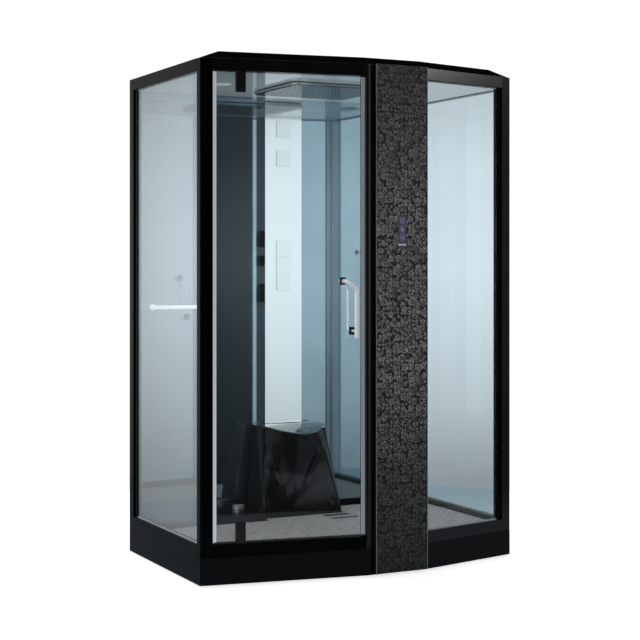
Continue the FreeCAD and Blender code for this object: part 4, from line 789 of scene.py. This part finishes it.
def run_tree(name, tree, values, material, body):
    """The tree's result as a finished piece that rides on a body."""
    item = new_object(name, bpy.data.meshes.new(name))
    modifier = item.modifiers.new("nodes", "NODES")
    modifier.node_group = tree
    for socket in tree.interface.items_tree:
        if socket.in_out == "INPUT" and socket.name in values:
            modifier[socket.identifier] = values[socket.name]
    mesh = evaluated_mesh(item)
    if not mesh.materials:
        mesh.materials.append(material)
    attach(item, body)
    print(name, len(mesh.polygons), "faces")
    return item


def finish_tree(tree, source, material):
    """Realize the instances and give them their finish, as every tree here ends."""
    real = add(tree, "GeometryNodeRealizeInstances", source)
    coloured = add(tree, "GeometryNodeSetMaterial", real.outputs[0], Material=material)
    add(tree, "NodeGroupOutput", coloured.outputs[0])
    return tree


def hidden_seed(name, rings):
    """A shape through rings of points, hidden itself, for a tree to place many times."""
    shape = bmesh.new()
    loft(shape, rings)
    seed = mesh_from(name, shape)
    seed.hide_render = True
    return seed


# %% [markdown]
# The mat's pads are small raised tiles in staggered rows, moulded onto the board so that wet feet
# don't slip. The tree lays a grid over the cabin, shifts every second row by half a pitch, and
# keeps a pad only where rays from its four corners all hit the board from above.

# %% Mat pads
PAD_HALF = (7.6 * MM, 4.9 * MM)
PAD_LAYERS = ((0, 0), (0, 1.4 * MM), (1.3 * MM, 2.6 * MM))  # inset from the foot, height
CORNERS = ((-1, -1), (1, -1), (1, 1), (-1, 1))
RAY_START, RAY_LENGTH = 0.01, 0.012  # from just above the board to just below its top


def pads_tree(material):
    tree, given = geometry_tree("mat_pads", [
        ("Pad", OBJECT, None), ("Board", OBJECT, None), ("Columns", WHOLE, 80), ("Rows", WHOLE, 70),
        ("Pitch X", FLOAT, 0.0185), ("Pitch Y", FLOAT, 0.0125), ("Top", FLOAT, 0.148),
        ("Half X", FLOAT, 0.009), ("Half Y", FLOAT, 0.006)])
    grid = add(tree, "GeometryNodeMeshGrid", Vertices_X=given["Columns"], Vertices_Y=given["Rows"],
               Size_X=calculate(tree, "MULTIPLY", given["Columns"], given["Pitch X"]),
               Size_Y=calculate(tree, "MULTIPLY", given["Rows"], given["Pitch Y"]))
    index = add(tree, "GeometryNodeInputIndex").outputs[0]
    odd = calculate(tree, "MODULO", calculate(tree, "MODULO", index, given["Rows"]), 2.0)
    stagger = calculate(tree, "MULTIPLY", calculate(tree, "MULTIPLY", odd, given["Pitch X"]), 0.5)
    offset = add(tree, "ShaderNodeCombineXYZ", X=stagger, Z=given["Top"])
    lifted = add(tree, "GeometryNodeSetPosition", Geometry=grid.outputs["Mesh"],
                 Offset=offset.outputs[0])
    board = add(tree, "GeometryNodeObjectInfo", Object=given["Board"]).outputs["Geometry"]
    place = add(tree, "GeometryNodeInputPosition").outputs[0]
    all_hit = None
    for side_x, side_y in CORNERS:
        corner = add(tree, "ShaderNodeCombineXYZ", Z=RAY_START,
                     X=calculate(tree, "MULTIPLY", given["Half X"], side_x),
                     Y=calculate(tree, "MULTIPLY", given["Half Y"], side_y))
        start = vector_math(tree, "ADD", place, corner.outputs[0])
        hit = add(tree, "GeometryNodeRaycast", Target_Geometry=board, Source_Position=start,
                  Ray_Direction=(0, 0, -1), Ray_Length=RAY_LENGTH).outputs["Is Hit"]
        if all_hit is None:
            all_hit = hit
        else:
            all_hit = add(tree, "FunctionNodeBooleanMath", all_hit, hit, operation="AND").outputs[0]
    pad = add(tree, "GeometryNodeObjectInfo", Object=given["Pad"]).outputs["Geometry"]
    pads = add(tree, "GeometryNodeInstanceOnPoints", Points=lifted.outputs[0], Instance=pad,
               Selection=all_hit)
    return finish_tree(tree, pads.outputs[0], material)


PAD = hidden_seed("pad_seed", [
    [(side_x * (PAD_HALF[0] - inset), side_y * (PAD_HALF[1] - inset), z) for side_x, side_y in CORNERS]
    for inset, z in PAD_LAYERS])
BOARD_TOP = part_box("floor_board")[1].z
run_tree("mat_pads", pads_tree(MAT_PADS),
         {"Pad": PAD, "Board": frame["nodes"]["floor_board"], "Top": BOARD_TOP},
         MAT_PADS, "root")


# %% [markdown]
# Spray nozzles are soft rubber nipples in a square grid, on each plate and on the rain shower's
# face. One seed serves both: a short blunt cone. The plates' grids point forwards; the rain
# shower's grid is the same tree turned over, so that its nozzles hang down.

# %% Nozzles
NOZZLE_LAYERS = ((2.1, 0.0), (1.9, 0.8), (1.2, 1.8))  # radius and height in millimetres
NOZZLE_TURNS = [turn * math.pi / 4 for turn in range(8)]
PLATE_HEIGHTS = (1.950, 1.812, 1.385, 1.305, 1.225)
PITCHES_PER_PLATE = 6.9
RAIN_GRID = {"Count X": 19, "Count Y": 18, "Pitch": 0.023}


def grid_tree(name, material, tilt):
    """A square grid of one shape; tilt turns it from facing up to facing the way its plate faces."""
    tree, given = geometry_tree(name, [
        ("Shape", OBJECT, None), ("Count X", WHOLE, 6), ("Count Y", WHOLE, 6),
        ("Pitch", FLOAT, 0.011), ("Middle", VECTOR, (0.0, 0.0, 0.0))])
    sizes = [calculate(tree, "MULTIPLY", calculate(tree, "SUBTRACT", given[count], 1.0), given["Pitch"])
             for count in ("Count X", "Count Y")]
    grid = add(tree, "GeometryNodeMeshGrid", *sizes, Vertices_X=given["Count X"],
               Vertices_Y=given["Count Y"])
    shape = add(tree, "GeometryNodeObjectInfo", Object=given["Shape"]).outputs["Geometry"]
    placed = add(tree, "GeometryNodeInstanceOnPoints", Points=grid.outputs["Mesh"], Instance=shape)
    turned = add(tree, "GeometryNodeTransform", placed.outputs[0], Translation=given["Middle"],
                 Rotation=(math.radians(tilt), 0, 0))
    return finish_tree(tree, turned.outputs[0], material)


def joined(name, items, body):
    """Several finished pieces as one."""
    shape = bmesh.new()
    material = items[0].data.materials[0]
    for item in items:
        shape.from_mesh(item.data)
        bpy.data.objects.remove(item)
    piece = mesh_from(name, shape)
    piece.data.materials.append(material)
    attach(piece, body)


def spray_nozzles(seed):
    tree = grid_tree("plate_nozzles", NOZZLE_RUBBER, 90)
    low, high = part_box("spray_plates")
    items = []
    for number, z in enumerate(PLATE_HEIGHTS):
        values = {"Shape": seed, "Middle": ((low.x + high.x) / 2, low.y, z),
                  "Pitch": (high.x - low.x) / PITCHES_PER_PLATE}
        items.append(run_tree(f"spray_{number}", tree, values, NOZZLE_RUBBER, "root"))
    joined("spray_nozzles", items, "root")


def rain_nozzles(seed):
    low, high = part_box("rain_shower")
    middle = ((low.x + high.x) / 2, (low.y + high.y) / 2, low.z)
    run_tree("rain_nozzles", grid_tree("rain_grid", NOZZLE_RUBBER, 180),
             {"Shape": seed, "Middle": middle, **RAIN_GRID}, NOZZLE_RUBBER, "root")


NOZZLE = hidden_seed("nozzle_seed", [
    [(radius * MM * math.cos(turn), radius * MM * math.sin(turn), z * MM) for turn in NOZZLE_TURNS]
    for radius, z in NOZZLE_LAYERS])
spray_nozzles(NOZZLE)
rain_nozzles(NOZZLE)


# %% [markdown]
# Touch keys. Behind the panel's glass a column of keys glows violet: three tiles with a plain sign
# each, and a bright bar below them. The lens is the construction's own solid; the tiles and signs
# are thin shapes just in front of it, with a soft glow that stays well below white.

# %% Touch keys
def glowing(name, colour, strength):
    material, tree = plain_material(name)
    dim = tuple(value * 0.55 for value in colour)
    tone = ramp(tree, cloud(tree, 160.0, 2.0), [(0.35, dim), (0.65, colour)])
    shader_with(tree, Roughness=0.25, Emission_Strength=strength, Base_Color=tone, Emission_Color=tone)
    return material


def flat_shape(outlines, name, front, depth, material):
    """Closed outlines in the wall's plane, as thin solids whose front lies at front."""
    shape = bmesh.new()
    for outline in outlines:
        face = shape.faces.new([shape.verts.new((x, front, z)) for x, z in outline])
        made = bmesh.ops.extrude_face_region(shape, geom=[face])
        verts = [item for item in made["geom"] if isinstance(item, bmesh.types.BMVert)]
        bmesh.ops.translate(shape, verts=verts, vec=(0, depth, 0))
    bmesh.ops.recalc_face_normals(shape, faces=shape.faces)
    piece = mesh_from(name, shape)
    piece.data.materials.append(material)
    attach(piece, "root")


def rounded(x, z, half_x, half_z, corner, steps=4):
    points = []
    for sign_x, sign_z, start in ((1, 1, 0), (-1, 1, 90), (-1, -1, 180), (1, -1, 270)):
        for step in range(steps + 1):
            angle = math.radians(start + 90 * step / steps)
            points.append((x + sign_x * (half_x - corner) + corner * math.cos(angle),
                           z + sign_z * (half_z - corner) + corner * math.sin(angle)))
    return points


def arc(x, z, radius, turns):
    return [(x + radius * math.cos(turn), z + radius * math.sin(turn)) for turn in turns]


def ring_parts(x, z, outer, inner, parts=8, gap=0.12):
    """A ring of short arcs, as a plain sign on a key."""
    outlines = []
    for part in range(parts):
        start = 2 * math.pi * part / parts + gap
        end = 2 * math.pi * (part + 1) / parts - gap
        turns = [start + (end - start) * step / 3 for step in range(4)]
        outlines.append(arc(x, z, outer, turns) + arc(x, z, inner, turns[::-1]))
    return outlines


def drop(x, z, size):
    turns = [math.radians(20 - 220 * step / 8) for step in range(9)]
    return [(x, z + size)] + arc(x, z - size * 0.3, size * 0.62, turns)


def touch_keys():
    low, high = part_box("control_display")
    x = (low.x + high.x) / 2
    tiles = [high.z - 0.022, high.z - 0.058, high.z - 0.094]
    tile_glow = glowing("key_glow", (0.060, 0.058, 0.150), 0.55)
    sign_glow = glowing("sign_glow", (0.20, 0.20, 0.42), 0.6)
    bar_glow = glowing("bar_glow", (0.36, 0.35, 0.50), 0.75)
    flat_shape([rounded(x, z, 0.0135, 0.0155, 0.003) for z in tiles], "key_tiles",
               low.y - 0.3 * MM, 0.25 * MM, tile_glow)
    signs = ring_parts(x, tiles[0], 0.0085, 0.006) + [drop(x, tiles[1], 0.009)]
    signs += [rounded(x + offset, tiles[2], 0.0014, height, 0.0012)
              for offset, height in ((-0.007, 0.004), (0, 0.0075), (0.007, 0.0055))]
    flat_shape(signs, "key_signs", low.y - 0.6 * MM, 0.25 * MM, sign_glow)
    flat_shape([rounded(x, high.z - 0.124, 0.019, 0.0035, 0.0015)], "key_bar", low.y - 0.4 * MM,
               0.35 * MM, bar_glow)
    print("keys on", [round(z, 3) for z in tiles])


touch_keys()


# %% [markdown]
# Edge highlights. Two slim pale strips, one up each edge of the panel's glass, show as thin bright
# lines against the black: painted highlights for the light that the panel's edges catch.

# %% Panel edge highlights
def upright_strip(shape, left, right, front, rear, foot, top):
    made = bmesh.ops.create_cube(shape, size=1)
    bmesh.ops.scale(shape, verts=made["verts"], vec=(right - left, rear - front, top - foot))
    bmesh.ops.translate(shape, verts=made["verts"],
                        vec=((left + right) / 2, (front + rear) / 2, (foot + top) / 2))


def panel_trims():
    low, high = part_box("pattern_panel")
    shape = bmesh.new()
    for left, right in ((low.x - 0.3 * MM, low.x + 2 * MM), (high.x - 2 * MM, high.x + 0.3 * MM)):
        upright_strip(shape, left, right, low.y - 0.6 * MM, low.y + 5 * MM, low.z, high.z)
    highlight_strips = mesh_from("panel_trims", shape)
    soften(highlight_strips, 0.5 * MM)
    # Painted highlight: the strips' pale metal stands in for the edges' bright lines.
    highlight_strips.data.materials.append(finish("edge_highlight_grey", (0.30, 0.31, 0.31), 0.35, 0.1, 80, 0.05,
                                       Metallic=0.6))
    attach(highlight_strips, "root")
    print("trims from", round(low.z, 3), "to", round(high.z, 3))


panel_trims()


# %% [markdown]
# The hinge clamps are two black plates each, screwed together through the notch in the glass. The
# copy of the solid gets a rounded edge, and two socket screws on its outer face.

# %% Hinge clamps
BOW, DOOR_RUN, RIGHT_RUN = 0.120, 0.710, 0.515
DOOR_TURN = -math.atan2(BOW, DOOR_RUN)
DOOR_CORNER = Vector((-0.750, -0.425, 0))
SCREW_ROWS = ((1.0, 0.0), (1.0, 0.45), (0.82, 0.62), (0.5, 0.62), (0.46, 0.1))  # shares of radius
SCREW_STEPS = 20
SCREW_ALONG, SCREW_INWARD = 0.172, 0.005  # along the door's facet, and in from its outer face


def on_door(along, inward, z):
    """A point of the closed door: along its facet and inward from its outer face, in metres."""
    direction = Vector((math.cos(DOOR_TURN), math.sin(DOOR_TURN), 0))
    inner = Vector((-direction.y, direction.x, 0))
    return DOOR_CORNER + direction * along + inner * inward + Vector((0, 0, z))


def socket_screw(shape, place, outward, radius):
    """A pan head with a round socket, added to a shape."""
    across = outward.cross(Vector((0, 0, 1))).normalized()
    up = across.cross(outward).normalized()
    turns = [2 * math.pi * step / SCREW_STEPS for step in range(SCREW_STEPS)]
    loft(shape, [[place + (across * math.cos(turn) + up * math.sin(turn)) * radius * share
                  + outward * radius * lift for turn in turns] for share, lift in SCREW_ROWS])


def hinge_clamps():
    clamps = merged_copy("hinge_clamps", "hinge_plates")
    clamps.data.materials.append(FINISHES["hinge_black"])
    shade_by_angle(clamps.data)
    soften(clamps, 1.6 * MM, 3)
    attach(clamps, "door")
    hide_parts("hinge_clamps")
    outward = (on_door(0, -1, 0) - on_door(0, 0, 0)).normalized()
    shape = bmesh.new()
    low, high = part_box("hinge_clamps")
    for z in (low.z + 0.052, low.z + 0.072, high.z - 0.052, high.z - 0.072):
        socket_screw(shape, on_door(SCREW_ALONG, SCREW_INWARD, z), outward, 3.6 * MM)
    bmesh.ops.recalc_face_normals(shape, faces=shape.faces)
    screws = mesh_from("hinge_screws", shape)
    shade_by_angle(screws.data)
    screws.data.materials.append(FINISHES["hinge_black"])
    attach(screws, "door")
    print("hinge clamps at", round(low.z, 3))


hinge_clamps()


# %% [markdown]
# Glazing beads. Where a pane enters its rail or channel, a thin pale seal shows as a bright line.
# Each bead is a small rounded strip that follows the pane's edge, on both of its faces.

# %% Glazing beads
SILL_TOP, HEADER_FOOT = 0.168, 2.100
PANE_INSET, PANE_THICK, REBATE = 14 * MM, 6 * MM, 15 * MM
BEAD_WIDTH, BEAD_HEIGHT = 3 * MM, 5 * MM
FRONT_PANE = (0.0145, 0.4535)  # where the right facet's pane starts and ends along it


def strip(shape, start, end, side):
    """A low strip with a chamfered outer edge, from start to end; side points away from the glass."""
    up = (end - start).normalized().cross(side).normalized()
    profile = ((0, 0), (BEAD_WIDTH, 0), (BEAD_WIDTH, BEAD_HEIGHT * 0.6),
               (BEAD_WIDTH * 0.4, BEAD_HEIGHT), (0, BEAD_HEIGHT))
    loft(shape, [[place + side * out + up * lift for out, lift in profile] for place in (start, end)])


def glazing_beads():
    right_turn = math.atan2(BOW, RIGHT_RUN)
    right_run = Vector((math.cos(right_turn), math.sin(right_turn), 0))
    right_in = Vector((-right_run.y, right_run.x, 0))
    right_bend = Vector((0.235, -0.545, 0))
    left_low, left_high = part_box("glass_left")
    right_low, right_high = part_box("glass_right")
    panes = [  # corner, direction of the pane, direction into the cabin, start and end
        (Vector((-0.75, left_high.y - REBATE, 0)), Vector((0, -1, 0)), Vector((1, 0, 0)),
         (0.0, left_high.y - left_low.y - 2 * REBATE)),
        (Vector((0.75, right_low.y + REBATE, 0)), Vector((0, 1, 0)), Vector((-1, 0, 0)),
         (0.0, right_high.y - right_low.y - 2 * REBATE)),
        (right_bend, right_run, right_in, FRONT_PANE),
    ]
    shape = bmesh.new()
    for corner, run, inner, reaches in panes:
        for z, lift in ((SILL_TOP, 1), (HEADER_FOOT, -1)):
            for inward, side in ((PANE_INSET, -inner), (PANE_INSET + PANE_THICK, inner)):
                start, end = [corner + run * reach + inner * inward + Vector((0, 0, z))
                              for reach in reaches]
                if (end - start).cross(side).z * lift < 0:
                    start, end = end, start
                strip(shape, start, end, side)
    bmesh.ops.recalc_face_normals(shape, faces=shape.faces)
    beads = mesh_from("glazing_beads", shape)
    beads.data.materials.append(finish("bead_grey", (0.55, 0.58, 0.58), 0.3, 0.1, 80, 0.05))
    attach(beads, "root")
    print("beads round", len(panes), "panes")


glazing_beads()
